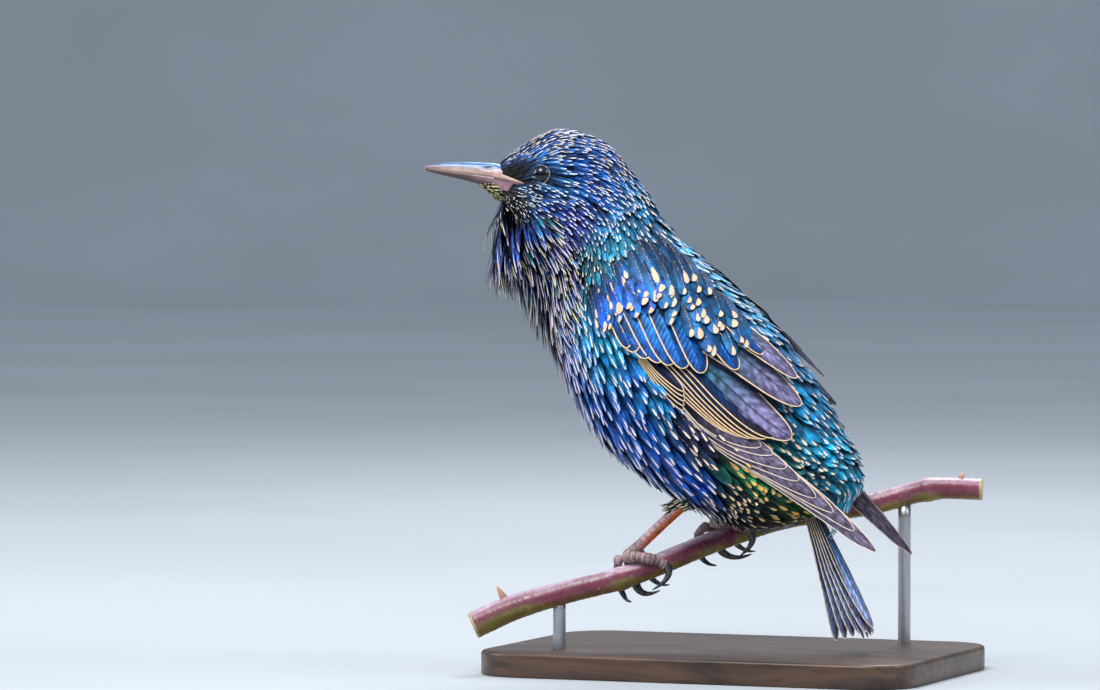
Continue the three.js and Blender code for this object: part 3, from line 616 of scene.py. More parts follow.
def skin():
    around = skinMesh["around"]
    rows = np.linspace(skinMesh["from"], skinMesh["to"], skinMesh["rows"])
    s, deg = np.meshgrid(rows, np.arange(around) * 360 / around - 180, indexing="ij")
    rings = onBody(s, deg, skinDepth(s))
    for side in (-1, 1):  # the socket: skin near the eye sinks behind the ball's front
        offset = rings - eyeCentre[side]
        depth = offset @ eyeAxis(side)
        flatGap = np.linalg.norm(offset - depth[..., None] * eyeAxis(side), axis=-1)
        sink = np.maximum(depth - 0.6, 0) * (1 - smooth(flatGap, 2.4, 3.6)) * (depth > 0)
        rings = rings - sink[..., None] * eyeAxis(side)
    _, colours = markingAndShadowAt(s.ravel(), deg.ravel())
    tint = (colours[:, 0:3] * skinMesh["shade"]).reshape(s.shape + (3,))
    loftPiece("skin", rings, downySkin,
              ("head", "neck", "torso", "thigh_left", "thigh_right"), tint)


skin()
print("stage: skin done")

# Coat: rings, degrees, steps between rows and between feathers, seed, height of the roots, rise
# of the tips and roundness of the tips
coats = [
    ("coat_face", (0.12, 2.1), (-180, 180), 1.4, 1.0, 1, -0.45, 1.2, 3.2),
    ("coat_head", (1.9, 3.9), (-180, 180), 2.1, 1.3, 2, -0.6, 1.5, 3.2),
    ("coat_neck", (3.7, 5.4), (-180, 180), 2.9, 2.0, 3, -0.9, 1.4, 3.2),
    ("coat_back", (5.2, 8.7), (-66, 66), 3.8, 3.1, 4, -1.0, 1.7, 3.2),
    ("coat_breast", (5.2, 6.8), (58, 302), 4.0, 2.5, 5, -1.0, 2.6, 2.4),
    ("coat_belly", (6.7, 8.8), (58, 302), 4.8, 3.2, 9, -1.0, 2.6, 2.4),
    ("coat_rump", (8.5, 12.1), (-80, 80), 3.5, 2.9, 6, -0.8, 1.9, 3.2),
    ("coat_vent", (8.6, 11.25), (74, 286), 4.2, 3.2, 7, -0.9, 2.0, 2.4),
]
for coat in coats:
    bodyCoat(*coat)


def beardSurface(s, degrees, lift):  # like the body's, but lift points forwards and a little down
    s, degrees, lift = arrays(s, degrees, lift)
    points = onRings(bodyRings, s, degrees, np.minimum(lift, 0.6))
    angle = np.radians(degrees)
    out = np.stack([0.93 * np.cos(angle), -np.sin(angle), 0.36 * np.cos(angle)], -1)
    return yawed(points + np.maximum(lift - 0.6, 0)[..., None] * out, s)


beard = {
    "rings": (0.7, 4.7), "degrees": (104, 256), "chinRings": (0.75, 2.6), "chinDegrees": (148, 212),
    "dark": "04071a", "blue": "0c4ca4", "teal": "0a86a8", "violet": "342c84",
    "tips": ("fffaf4", "f4e4d4", "f2ecb8", "e8d4dc"),
    # how far the feathers stand out, by ring
    "stand": [(0.7, 6), (1.0, 9), (1.4, 12), (2.0, 13.5), (2.5, 12), (2.9, 9.5), (3.3, 7), (3.8, 4),
              (4.7, 1.2)],
}


def hackles():  # the long loose feathers of the throat, standing out like a beard
    pts, rng = scatter(beard["rings"], beard["degrees"], 1.7, 1.5, onBody, 8)
    pts = pts[np.abs(pts[:, 1] - 180) < 24 + 52 * smooth(pts[:, 0], 1.5, 2.8)]
    chin, _ = scatter(beard["chinRings"], beard["chinDegrees"], 1.15, 1.1, onBody, 12)
    s, deg = np.vstack([pts, chin]).T  # denser under the chin
    n = len(s)
    front = np.abs(np.cos(np.radians(deg - 180))) ** 1.3
    stand = np.interp(s, *zip(*beard["stand"]))
    low = smooth(s, 2.2, 3.6)
    deep = rng.uniform(size=(n, 1))
    dark, blue, teal, violet = (linear(beard[name]) for name in ("dark", "blue", "teal", "violet"))
    night = 0.3 + 0.45 * smooth(s, 2.4, 1.4)[:, None]
    tint = np.where(deep < night, dark, np.where(deep < 0.84, blue, np.where(deep < 0.92, teal, violet)))
    tint = tint * (0.5 + 0.9 * rng.uniform(size=(n, 1)))
    tips = np.array([linear(code) for code in beard["tips"]])
    length = (7.5 + (5.5 + 4 * low) * front) * (0.5 + 0.5 * smooth(s, 0.6, 1.7))
    f = {
        "s": s, "deg": deg, "length": length * rng.uniform(0.85, 1.18, n),
        "width": rng.uniform(1.1, 1.6, n) + 0.4 * low,
        "drift": rng.normal(size=n) * 0.08 + (deg - 180) / 76 * 0.3,
        "base": np.full(n, -0.8), "rise": (1.4 + stand * front) * rng.uniform(0.28, 1.12, n),
        "arch": np.full(n, 0.25), "tilt": rng.normal(size=n) * 0.2, "tint": tint,
        "tip": tips[rng.integers(0, 4, n)] * rng.uniform(0.8, 1.05, (n, 1)),
        "tipLength": (0.36 + 0.3 * low) * rng.uniform(0.7, 1.3, n), "tipWidth": rng.uniform(0.5, 0.8, n),
        "shade": rng.uniform(0.2, 0.8, n), "bakeU": (s + 0.5) / bakeRings, "bakeV": deg % 360 / 360,
    }
    feathersPiece("coat_hackles", beardSurface, f, "body_feathers", point=1.8, liftPower=0.65)


hackles()

# Bill, by section: x, height of its top, mouth line and underside, and half width
billSections = np.array([
    [-94.7, 166.9, 166.1, 165.4, 0.5], [-91.2, 167.6, 165.6, 164.3, 1.3],
    [-86.3, 168.1, 165.0, 163.1, 1.8], [-81.3, 168.2, 164.4, 161.9, 2.3],
    [-76.4, 168.1, 163.8, 160.5, 2.9], [-71.4, 167.8, 163.1, 159.2, 3.9],
    [-67.1, 166.9, 162.3, 158.6, 4.9], [-64.0, 165.6, 161.7, 158.3, 5.4],
])
chinLook = {"front": -79.6, "length": 10.6}


def chinSurface(s, degrees, lift):  # feathered skin between the arms of the lower bill; s runs 0 to 1
    s, degrees, lift = arrays(s, degrees, lift)
    x = chinLook["front"] + chinLook["length"] * s
    angle = np.radians(degrees)
    wide = 0.7 + 3.8 * smooth(s, -0.1, 1.0) + lift
    deep = 0.4 + 5.2 * smooth(s, 0.0, 1.2) + lift
    top = np.interp(x, billSections[3:7, 0], billSections[3:7, 3]) + 0.6
    return headPoint(x, wide * np.sin(angle), top - deep * np.maximum(np.cos(angle), -0.3))


# Legs: heel, a point down the shank, the feathered share of the shank, and a point where the foot grips
legs = {
    "left": {"side": -1, "heel": (-2.6, -11, 56.8), "shank": (-22.9, -14.8, 46.8), "feathered": 0.12,
             "grip": (-22.2, -14.6, 40.9)},
    "right": {"side": 1, "heel": (20.4, 11, 64), "shank": (-2.4, 10.8, 53.2), "feathered": 0.5,
              "grip": (-1.6, 11, 47)},
}


def thighSurface(label):  # s runs 0 to 1 down the thigh
    heel, shank = np.array(legs[label]["heel"]), np.array(legs[label]["shank"])
    top, end = heel + 0.25 * (heel - shank), heel + legs[label]["feathered"] * (shank - heel)
    down = (end - top) / np.linalg.norm(end - top)
    across = np.cross(down, [0, 1, 0])
    across /= np.linalg.norm(across)
    other = np.cross(across, down)

    def surface(s, degrees, lift):
        s, degrees, lift = arrays(s, degrees, lift)
        angle = np.radians(degrees)
        radius = (4.3 - 1.7 * np.clip(s, 0, 1.2) + lift)[..., None]
        out = np.cos(angle)[..., None] * across + np.sin(angle)[..., None] * other
        return top + s[..., None] * (end - top) + radius * out
    return surface


smallLook = {
    "chin": dict(rings=(0.02, 1.0), steps=(1.0, 0.8), seed=31, length=2.6, width=0.9,
                 colours=("2c2818", "5c5434"), tip="f6e6ac", share=0.5, bake=0.9),
    "thigh": dict(rings=(0.05, 0.98), steps=(2.2, 1.5), seed=33, length=6.5, width=2.2,
                  colours=("0c1c1c", "0c3c3c"), tip="f4dcb4", share=0.4, bake=0.93, skin="1c2420"),
}


def smallCoat(name, surface, look):
    pts, rng = scatter(look["rings"], (-180, 180), *look["steps"], surface, look["seed"])
    s, deg = pts.T
    n = len(s)
    dark, light = (linear(code) for code in look["colours"])
    mixer = rng.uniform(size=(n, 1))
    f = {
        "s": s, "deg": deg, "length": look["length"] * rng.uniform(0.85, 1.15, n),
        "width": look["width"] * rng.uniform(0.9, 1.1, n), "drift": rng.normal(size=n) * 0.08,
        "base": rng.uniform(-0.5, -0.3, n), "rise": look["length"] * 0.1 * rng.uniform(0.7, 1.3, n),
        "arch": 0.14 * np.full(n, look["width"]), "tilt": rng.normal(size=n) * 0.06,
        "tint": blend(dark, light, mixer), "tip": linear(look["tip"]) * rng.uniform(0.85, 1.1, (n, 1)),
        "tipLength": look["share"] * rng.uniform(0.7, 1.3, n), "tipWidth": rng.uniform(0.5, 0.75, n),
        "shade": rng.uniform(0.3, 0.8, n), "bakeU": look["bake"] + s / 20, "bakeV": (deg + 180) / 360,
    }
    feathersPiece(name, surface, f, "body_feathers", point=2.6)


def thigh(label):
    surface = thighSurface(label)
    s, deg = np.meshgrid(np.linspace(0, 1, 14), np.linspace(-180, 180, 24, endpoint=False), indexing="ij")
    tint = np.broadcast_to(linear(smallLook["thigh"]["skin"]), s.shape + (3,))
    loftPiece(f"thigh_{label}_skin", surface(s, deg, -0.6), downySkin, tint=tint)
    smallCoat(f"coat_thigh_{label}", surface, smallLook["thigh"])


smallCoat("coat_chin", chinSurface, smallLook["chin"])
for label in legs:
    thigh(label)

# Wings: root ring and degrees, tip ring and degrees, and width where it varies
wingTable = {
    "primary": [
        (1.58, 87, 6.21, 64), (1.6, 86, 5.61, 66), (1.62, 85, 5.19, 69), (1.64, 84, 4.8, 71),
        (1.65, 83, 4.34, 71), (1.67, 82, 4.02, 71), (1.69, 81, 3.68, 70), (1.71, 80, 3.46, 71),
    ],
    "secondary": [
        (1.73, 81, 3.05, 75), (1.77, 79, 3.13, 73.5), (1.82, 77, 3.2, 72), (1.88, 75, 3.27, 70),
        (1.94, 73, 3.33, 67.5), (1.99, 70.5, 3.38, 65), (2.03, 68, 3.42, 61.5),
    ],
    "tertial": [(1.75, 66, 3.58, 54, 13.5), (1.75, 50, 3.13, 34, 13), (1.75, 37, 2.74, 25, 10.5)],
    "primaryCovert": [(1.25, 84, 2.18, 81), (1.27, 85, 2.24, 82.5), (1.3, 86, 2.3, 84), (1.35, 87, 2.35, 86),
                      (1.4, 88, 2.4, 88)],
    "greaterCovert": [
        (0.44, 82, 1.18, 88, 5.4), (0.54, 81, 1.3, 86, 7), (0.66, 77, 1.49, 83), (0.78, 73, 1.65, 80),
        (0.91, 68, 1.77, 77), (1.06, 63, 1.92, 73), (1.23, 56, 2.11, 68), (1.35, 46, 2.3, 53),
        (1.45, 34, 2.27, 36),
    ],
}
# Width, lift at root and tip and its step per feather, slope across, bow, edge width, colours from
# root to tip, edge colour, roundness of the tip, and how far the root runs on under its neighbours
wingLook = {
    "primary": dict(width=8.6, root=-0.2, tip=0.6, step=0.22, slope=0.1, bow=5, edge=0.3, back=0,
                    colours=("26264a", "ac9cbc"), edgeColour="fce6d2", point=3.5),
    "secondary": dict(width=7.2, root=0.8, tip=2.2, step=0.17, slope=0.22, bow=0, edge=0.38, back=0.6,
                      colours=("0a4c98", "2c2840"), edgeColour="f8d4a4", point=6),
    "tertial": dict(rootWide=0.9, width=12, root=1.3, tip=3.2, step=0.5, slope=0.1, bow=0, edge=0.42,
                    back=1.0, colours=("0a7c94", "8c84b0"), edgeColour="f6d4ac", point=5),
    "primaryCovert": dict(width=4.0, root=1.5, tip=3.0, step=-0.26, slope=0.16, bow=0, edge=0.34, back=0,
                          colours=("0c245c", "1c2a58"), edgeColour="f6d8a8", point=4),
    "greaterCovert": dict(rootWide=0.9, width=8.2, root=1.2, tip=3.7, step=0.07, slope=0.2, bow=0, edge=0.42,
                          back=0.55, colours=("0a78cc", "0a5eb8"), edgeColour="f8d4a4", point=7),
}
firstCoverts = {"count": 3, "back": 0.3}
flightRows = np.append(np.linspace(0, 0.8, 15), 0.8 + 0.2 * np.sin(np.linspace(0.15, 1, 11) * math.pi / 2))
flightColumns = np.array([-1, -0.86, -0.6, -0.3, -0.08, 0, 0.08, 0.3, 0.6, 0.86, 1.0])
shaftHeight, shaftWidth = 0.18, 0.07


def flightVanes(name, surface, vanes, bakeBlock, replaces):  # one stiff feather for each row of vanes
    t, x = np.meshgrid(flightRows, flightColumns, indexing="ij")
    count, ones = t.size, np.ones(t.size)
    parts = {"verts": [], "tint": [], "tip": [], "extra": []}
    for index, r in enumerate(vanes):
        s0, a0, s1, a1 = r["line"]
        u = s0 + (s1 - s0) * t
        v = a0 + (a1 - a0) * t + r["bow"] * np.sin(math.pi * t)
        lift = r["root"] + (r["tip"] - r["root"]) * t ** 1.6
        middle = surface(u, v, lift)
        normal = surface(u, v, lift + 1) - middle
        normal /= np.linalg.norm(normal, axis=-1, keepdims=True)
        du, dv = (s1 - s0) * 0.01, (a1 - a0) * 0.01
        along = surface(u + du, v + dv, lift) - surface(u - du, v - dv, lift)
        length = np.linalg.norm(along[:, 5], axis=-1).mean() * 50
        along /= np.linalg.norm(along, axis=-1, keepdims=True)
        across = np.cross(along, normal)
        toward = surface(u, v + 1, lift) - middle
        across *= np.sign((across * toward).sum(-1, keepdims=True))
        half = r["width"] / 2
        w = leafWidth(t, r["point"], r.get("rootWide", 0.55), 0.9)
        xx = x * w * half
        ripple = 0.05 * np.sin(t * 40 + index) * np.abs(x)
        rise = r["slope"] * xx - 0.028 * xx * xx + shaftHeight * np.exp(-(x / shaftWidth) ** 2) + ripple
        rim = np.minimum((1 - np.abs(x)) * w * half, (1 - t) * length)
        root, end = (linear(code) for code in r["colours"])
        colour = blend(root, end, smooth(t, *r.get("blend", (0.35, 0.85)))[..., None])
        parts["verts"].append((middle + across * xx[..., None] + normal * rise[..., None]).reshape(-1, 3))
        parts["tint"].append(np.column_stack([colour.reshape(-1, 3), ones * (r["edge"] / 10)]))
        parts["tip"].append(np.tile(np.append(linear(r["edgeColour"]), 0), (count, 1)))
        rim = np.clip(rim.ravel() / 10, 0, 1)
        parts["extra"].append(np.column_stack([0 * ones, rim, ones * r["shade"], ones]))
    verts, tint, tip, extra = (np.concatenate(part) for part in parts.values())
    uv = np.tile(np.stack([(x + 1) / 2, t], -1).reshape(-1, 2), (len(vanes), 1))
    bakeRoot = np.array([[bakeBlock + 0.02 * (k % 5), 0.05 + 0.018 * k] for k in range(len(vanes))])
    bake = np.repeat(bakeRoot, count, axis=0) + (uv - 0.5) * bakePatch["flight"]
    quadPiece(name, place(verts), vaneFaces(len(flightRows), len(flightColumns), len(vanes)), flightMaterial,
              (replaces,), {"vane": uv, "OFBake": bake},
              {"tint": tint, "tip": tip, "extra": extra})


bedLook = {"from": 0.2, "length": 3.1, "rows": 33, "points": 15, "colour": "0a2450"}


def wingBed(side, label):  # the covered wing under its feathers
    surface = onWing(side)
    x = np.linspace(0, 1, bedLook["points"])
    rings = []
    for i in range(bedLook["rows"]):
        t = i / (bedLook["rows"] - 1)
        s = bedLook["from"] + bedLook["length"] * t
        opened = min(1, 0.35 + 3.5 * t, 0.3 + 3 * (1 - t))
        low, high = 60 - 26 * opened, 70 + 16 * opened
        thick = (2.6 - 1.4 * float(smooth(t, 0.3, 0.9))) * min(1, 0.35 + 2.5 * t)
        outer = surface(s, low + (high - low) * x, thick * np.sin(math.pi * (0.12 + 0.76 * x)) ** 0.5 - 0.3)
        inner = surface(s, high + (low - high) * x, -0.6)
        rings.append(np.vstack([outer, inner]))
    rings = np.array(rings)
    loftPiece(f"{label}_bed", rings, downySkin,
              tint=np.broadcast_to(linear(bedLook["colour"]), rings.shape))


def wing(side, label):
    rows = []
    rng = np.random.default_rng(21)
    for kind, look in wingLook.items():
        for i, row in enumerate(wingTable[kind]):
            r = dict(look)
            s0, a0, s1, a1 = row[:4]
            back = look["back"]
            if kind == "greaterCovert" and i < firstCoverts["count"]:
                back = firstCoverts["back"]
            r["line"] = (s0 - back, a0 - (a1 - a0) / (s1 - s0) * back, s1, a1)
            r["width"] = row[4] if len(row) > 4 else look["width"]
            r["root"] += look["step"] * i
            r["tip"] += look["step"] * i
            if side > 0 and kind == "tertial":
                r["root"] -= looseWing["tertialSink"][0]
                r["tip"] -= looseWing["tertialSink"][1]
            r["shade"] = rng.uniform(0.4, 0.65)
            rows.append(r)
    flightVanes(f"{label}_flight", onWing(side), rows, 0.1 if side < 0 else 0.3, label)
    wingBed(side, label)
    for k, (band, look) in enumerate(covertLook.items()):
        coverts(f"{label}_{band}", side, k, look)
    print(f"stage: {label} done")


# Smaller feathers of the wing, from the shoulder back: rings, degrees, steps, and one feather's look
covertLook = {
    "lesser": dict(rings=(-0.12, 0.55), degrees=(54, 93), steps=(2.8, 2.8), length=7.0, width=3.4, drift=0.3,
                   share=0.3, wide=0.8, colours=("044c80", "06468c")),
    "median": dict(rings=(0.2, 0.8), degrees=(48, 88), steps=(3.4, 3.4), length=8.0, width=4.6, drift=0.3,
                   share=0.26, wide=0.95, colours=("085cbc", "0a44a0")),
    "scapulars": dict(rings=(-0.1, 1.62), degrees=(26, 52), steps=(4.4, 3.6), length=12.0, width=4.8,
                      drift=0.42, share=0.24, wide=0.8, colours=("045480", "064078")),
}
covertTip = "f6cfa8"


def coverts(name, side, k, look):
    surface = onWing(side)
    pts, rng = scatter(look["rings"], look["degrees"], *look["steps"], surface, 40 + k)
    s, deg = pts.T
    if look is covertLook["median"]:
        keep = s < 0.3 + 0.64 * smooth(deg, 88, 44)
        s, deg = s[keep], deg[keep]
    n = len(s)
    sink = looseWing["scapularSink"] if side > 0 and look is covertLook["scapulars"] else 0
    first, second = (linear(code) for code in look["colours"])
    mixer = np.clip(noise(surface(s, deg, 0), 8, 9) * 0.8 + rng.uniform(-0.2, 0.3, n), 0, 1)[:, None]
    f = {
        "tint": blend(first, second, mixer) * rng.uniform(0.65, 1.35, (n, 1)),
        "s": s, "deg": deg, "length": look["length"] * rng.uniform(0.88, 1.12, n),
        "width": look["width"] * rng.uniform(0.9, 1.1, n), "drift": rng.normal(size=n) * 0.05 + look["drift"],
        "base": 0.8 + 0.45 * k + 1.5 * smooth(s, -0.1, 0.6) + rng.uniform(-0.1, 0.2, n) - sink,
        "rise": rng.uniform(1.2, 1.8, n), "arch": np.full(n, 0.5), "tilt": rng.normal(size=n) * 0.12,
        "tip": linear(covertTip) * rng.uniform(0.9, 1.1, (n, 1)),
        "tipLength": look["share"] * rng.uniform(0.7, 1.3, n),
        "tipWidth": look["wide"] * rng.uniform(0.85, 1.2, n),
        "shade": rng.uniform(0.3, 0.8, n), "bakeU": 0.5 + s / 20 + (0.15 if side > 0 else 0),
        "bakeV": deg / 360 + 0.25 * k,
    }
    feathersPiece(name, surface, f, "flight_feathers", point=4.5)


wing(-1, "wing_left")
wing(1, "wing_right")

# Tail
tailLook = dict(base=(38.3, 1.2, 54.5), droop=61, twist=5, swing=-6, length=44, spacing=1.6, pairs=6,
                width=7.8, colours=("3494ec", "a8bcec"), edgeColour="f8dcc0", edge=0.38)


def turnAbout(points, axis, degrees):
    angle = math.radians(degrees)
    c, n = math.cos(angle), math.sin(angle)
    alongAxis = np.outer(points @ axis, axis).reshape(points.shape)
    return points * c + np.cross(axis, points) * n + alongAxis * (1 - c)


def onTail(along, degrees, lift):
    along, degrees, lift = arrays(along, degrees, lift)
    across = np.radians(degrees) * (along + 22)
    roof = lift - 0.055 * across * across * (0.5 + along / 90)
    droop = math.radians(tailLook["droop"])
    down = np.array([math.cos(droop), 0, -math.sin(droop)])
    out = np.array([math.sin(droop), 0, math.cos(droop)])
    points = np.stack([0 * across, across, 0 * across], -1) + along[..., None] * down + roof[..., None] * out
    shape = points.shape
    points = turnAbout(turnAbout(points.reshape(-1, 3), out, tailLook["swing"]), down, tailLook["twist"])
    return points.reshape(shape) + tailLook["base"]


def tail():
    rows = []
    for side in (-1, 1):
        for i in reversed(range(tailLook["pairs"])):
            angle = side * tailLook["spacing"] * (0.55 + i)
            reach = tailLook["length"] + 0.5 * i - 0.12 * i * i
            lift = -0.66 * i + (1 if side < 0 and i == 0 else 0.07 * side)
            rows.append(dict(line=(-2.3 - 0.2 * i, angle * 0.8, reach, angle), root=-0.33 * i, tip=lift + 0.3,
                             slope=-0.12 * side, bow=0, point=6, shade=0.75, blend=(0.1, 0.9),
                             **{key: tailLook[key] for key in ("width", "edge", "colours", "edgeColour")}))
    flightVanes("tail_feathers", onTail, rows, 0.55, "tail")


tail()
print("stage: tail done")

# The upper bill's blue top ridge is a painted sky reflection, and its side colour is partly the horn's own
# colour and partly a painted pale highlight stripe.
billLook = {
    "rows": 40, "around": 28, "flat": 6, "crown": "3c78b0", "side": "cca898", "lowerCrown": "2c1a1e",
    "lowerSide": "9a747c", "lowerWorn": "6a443c", "tip": "6c4030",
    "nostril": {"x": -73.4, "height": 166.2, "long": 1.8, "tall": 0.55, "deep": 0.75},
}


def billMaterial():
    m = Nodes("billHorn")
    streak = m.ramp(m.noiseTexture(300, 4, distortion=0.6), 0.3, 0.75, 0.75, 1.2)
    m.bump(m.noiseTexture(500, 4), 0.25, 0.0002)
    return m.set(Base_Color=m.shaded(m.colour("tint"), streak), Roughness=0.32, Coat_Weight=0.3,
                 Coat_Roughness=0.15)


def billHalf(upper):
    around, flat, hole = billLook["around"], billLook["flat"], billLook["nostril"]
    angle = np.linspace(0, math.pi, around - flat)
    rings, tint = [], []
    sections = ringAt(billSections, np.linspace(0, len(billSections) - 1, billLook["rows"]))
    for k, (x, top, mouth, bottom, width) in enumerate(sections):
        inner = mouth + (0.1 if upper else -0.1)
        peak = top if upper else bottom
        y = np.append(width * np.cos(angle), np.linspace(-width * 0.97, width * 0.97, flat + 2)[1:-1])
        z = np.append(inner + (peak - inner) * np.sin(angle) ** 0.85, np.full(flat, inner))
        slit = np.exp(-((x - hole["x"]) / hole["long"]) ** 2)
        slit = slit * np.exp(-((z - hole["height"]) / hole["tall"]) ** 2) * (1 if upper else 0)
        y = y - np.sign(y) * hole["deep"] * slit * (np.abs(y) > 1)
        rings.append(headPoint(np.full(around, x + (0 if upper or k else 1.2)), y, z))
        if upper:
            # Upper bill: a painted pale highlight on the sides and a painted blue reflection along the top
            # ridge.
            side = linear(billLook["side"])
            ridge, crown = (z - mouth) / max(peak - mouth, 0.3), billLook["crown"]
        else:
            worn = float(smooth(x, -72, -82))
            side = blend(linear(billLook["lowerSide"]), linear(billLook["lowerWorn"]), worn)
            ridge, crown = (mouth - z) / max(mouth - bottom, 0.3), billLook["lowerCrown"]
        colour = blend(side, linear(crown), smooth(np.clip(ridge, 0, 1), 0.2, 0.85)[:, None])
        colour = blend(colour, linear(billLook["tip"]), 0.5 * float(1 - smooth(x, -94, -84)))
        # The nostril's slit is painted nearly black: painted shade in its hollow.
        tint.append(colour * (1 - 0.92 * slit[:, None]))
    return rings, tint


horn = billMaterial()
for upper, node in ((True, "bill_upper"), (False, "bill_lower")):
    rings, tint = billHalf(upper)
    loftPiece(node + "_horn", rings, horn, (node,), tint)

cornerLook = {"rows": 30, "around": 24, "upper": "c09c8c", "lower": "92707a", "fleshy": "966e76"}


def mouthCorner(which):  # the bill's sides run back under the lores to the corner of the mouth
    rings, tint = [], []
    turn = circle(cornerLook["around"])
    for x in np.linspace(gapeWidth[0][0], cornerX, cornerLook["rows"]):
        wide, height, above, below = gape(x)
        grown = float(smooth(x, -73.4, -70.5))
        z = height + np.where(np.sin(turn) > 0, above, below) * (0.4 + 0.6 * grown) * np.sin(turn)
        y = wide + (0.3 + 0.3 * grown) * np.cos(turn) - 0.12 * np.exp(-((z - height) / 0.22) ** 2)
        y = y - 0.3 * np.clip((height - z) / 3, 0, 1)
        rings.append(headPoint(np.full(len(turn), x), which * y, z))
        fleshy = float(smooth(x, -72.5, -67.5))
        lower = blend(linear(cornerLook["lower"]), linear(cornerLook["fleshy"]), fleshy)
        colour = blend(lower, linear(cornerLook["upper"]), smooth(z - height, -0.1, 0.1)[:, None])
        # Painted shade: a thin dark line along the crease of the mouth, where the halves of the bill meet.
        tint.append(colour * (1 - 0.8 * np.exp(-((z - height) / 0.16) ** 2))[:, None])
    return rings, tint


for which, label in ((-1, "left"), (1, "right")):
    rings, tint = mouthCorner(which)
    loftPiece(f"mouth_corner_{label}", rings, horn, tint=tint)

# Eyes
eye = {"radius": 3.4, "rows": 33, "around": 48, "pupil": "020203", "iris": "1c1210", "pupilRim": (1.3, 1.55),
       "lidRadius": 3.0, "lidWidth": 0.27, "lidForward": 1.85, "lidRows": 57}


def eyeMaterial():
    m = Nodes("eyeball")
    # The coat's blue tint is a painted sky reflection on the eye.
    return m.set(Base_Color=m.colour("tint"), Roughness=0.08, Coat_Weight=0.7, Coat_Roughness=0.02,
                 Coat_Tint=(0.35, 0.6, 1.0, 1), Specular_IOR_Level=0.3)


def lidMaterial():
    m = Nodes("eyelid")
    grain = m.ramp(m.noiseTexture(1800, 3), 0.35, 0.65, 0.0, 1.0)
    m.bump(m.noiseTexture(1600, 3), 0.6, 0.0002)
    return m.set(Base_Color=m.mix(grain, (0.09, 0.1, 0.15, 1), (0.25, 0.27, 0.34, 1)), Roughness=0.5)


def ringFrame(axis):
    level = np.cross(axis, [0, 0, 1])
    level /= np.linalg.norm(level)
    return level, np.cross(level, axis)


def eyeball(side, label, axis, level, up):
    turn = circle(eye["around"])
    rings, tint = [], []
    for k in range(eye["rows"]):
        polar = math.pi * (0.004 + 0.992 * k / (eye["rows"] - 1))
        out = np.outer(np.cos(turn), level) + np.outer(np.sin(turn), up)
        ring = out * math.sin(polar) + axis * math.cos(polar)
        rings.append(eyeCentre[side] + ring * eye["radius"])
        share = float(smooth(math.sin(polar) * eye["radius"], *eye["pupilRim"]))
        tint.append(np.tile(blend(linear(eye["pupil"]), linear(eye["iris"]), share), (len(turn), 1)))
    loftPiece(f"eyeball_{label}", rings, ballSkin, (f"eye_{label}",), tint)


def eyelid(side, label, axis, level, up):
    cross = circle(12)
    rings = []
    for turn in np.linspace(0, 2 * math.pi, eye["lidRows"]):
        out = math.cos(turn) * level + math.sin(turn) * up
        thick = eye["lidWidth"] * (1 + 0.12 * math.sin(turn * 9))
        middle = eyeCentre[side] + axis * eye["lidForward"] + out * eye["lidRadius"]
        wide, high = np.cos(cross) * thick, np.sin(cross) * thick * 1.1
        rings.append(middle + np.outer(wide, out) + np.outer(high, axis))
    loftPiece(f"eyelid_{label}", rings, lidSkin, caps=False)


ballSkin, lidSkin = eyeMaterial(), lidMaterial()
for side, label in ((-1, "left"), (1, "right")):
    axis = eyeAxis(side)
    level, up = ringFrame(axis)
    eyeball(side, label, axis, level, up)
    eyelid(side, label, axis, level, up)
print("stage: bill and eyes done")

# Stem
stemPath = np.array([
    [-69.7, -32, 15.6], [-58.1, -27, 21.2], [-43.2, -22.5, 26], [-25.1, -17, 30.9],
    [-16.1, -13, 34.3], [5.4, 13, 44.9], [18.8, 24, 49.8], [45.6, 36, 54.5], [65.2, 42, 59.7],
    [81, 46, 59.7],
])
# The pale colour along the top of the stem is a painted highlight.
stemLook = {
    "left": 4.4, "middle": 3.6, "joints": (0.285, 0.9), "rows": 320, "around": 48, "cutShare": 0.006,
    "topHighlight": "c4a8bc", "upper": "7e3c52", "lower": "8a7a3c", "patch": "7c2c3c", "cut": "b8a878",
    "spikeRoot": "9a4a3c", "spikeTip": "d8b090",
}
# Thorn and bud: share along the stem, direction, length and width
spikes = {"stem_thorn": (0.075, (-0.55, -0.1, 0.9), 5.5, 2.0), "stem_bud": (0.955, (0.25, 0, 1), 2.6, 2.1)}


def denseCurve(points, count=600):  # a smooth curve through the points, evenly spaced by length
    p = np.asarray(points, float)
    p = np.vstack([2 * p[0] - p[1], p, 2 * p[-1] - p[-2]])
    out = []
    for i in range(1, len(p) - 2):
        a, b, c, d = p[i - 1:i + 3]
        k0 = 0
        k1 = k0 + np.linalg.norm(b - a) ** 0.5
        k2 = k1 + np.linalg.norm(c - b) ** 0.5
        k3 = k2 + np.linalg.norm(d - c) ** 0.5
        for t in np.linspace(k1, k2, 60, endpoint=False):
            a1 = a * (k1 - t) / (k1 - k0) + b * (t - k0) / (k1 - k0)
            a2 = b * (k2 - t) / (k2 - k1) + c * (t - k1) / (k2 - k1)
            a3 = c * (k3 - t) / (k3 - k2) + d * (t - k2) / (k3 - k2)
            b1 = a1 * (k2 - t) / (k2 - k0) + a2 * (t - k0) / (k2 - k0)
            b2 = a2 * (k3 - t) / (k3 - k1) + a3 * (t - k1) / (k3 - k1)
            out.append(b1 * (k2 - t) / (k2 - k1) + b2 * (t - k1) / (k2 - k1))
    out = np.array(out + [p[-2]])
    length = np.concatenate([[0], np.cumsum(np.linalg.norm(np.diff(out, axis=0), axis=1))])
    even = np.linspace(0, length[-1], count)
    return np.stack([np.interp(even, length, out[:, i]) for i in range(3)], -1), length[-1]


stemCurve, stemLength = denseCurve(stemPath)
finerStem = np.linspace(0, 1, 2001)


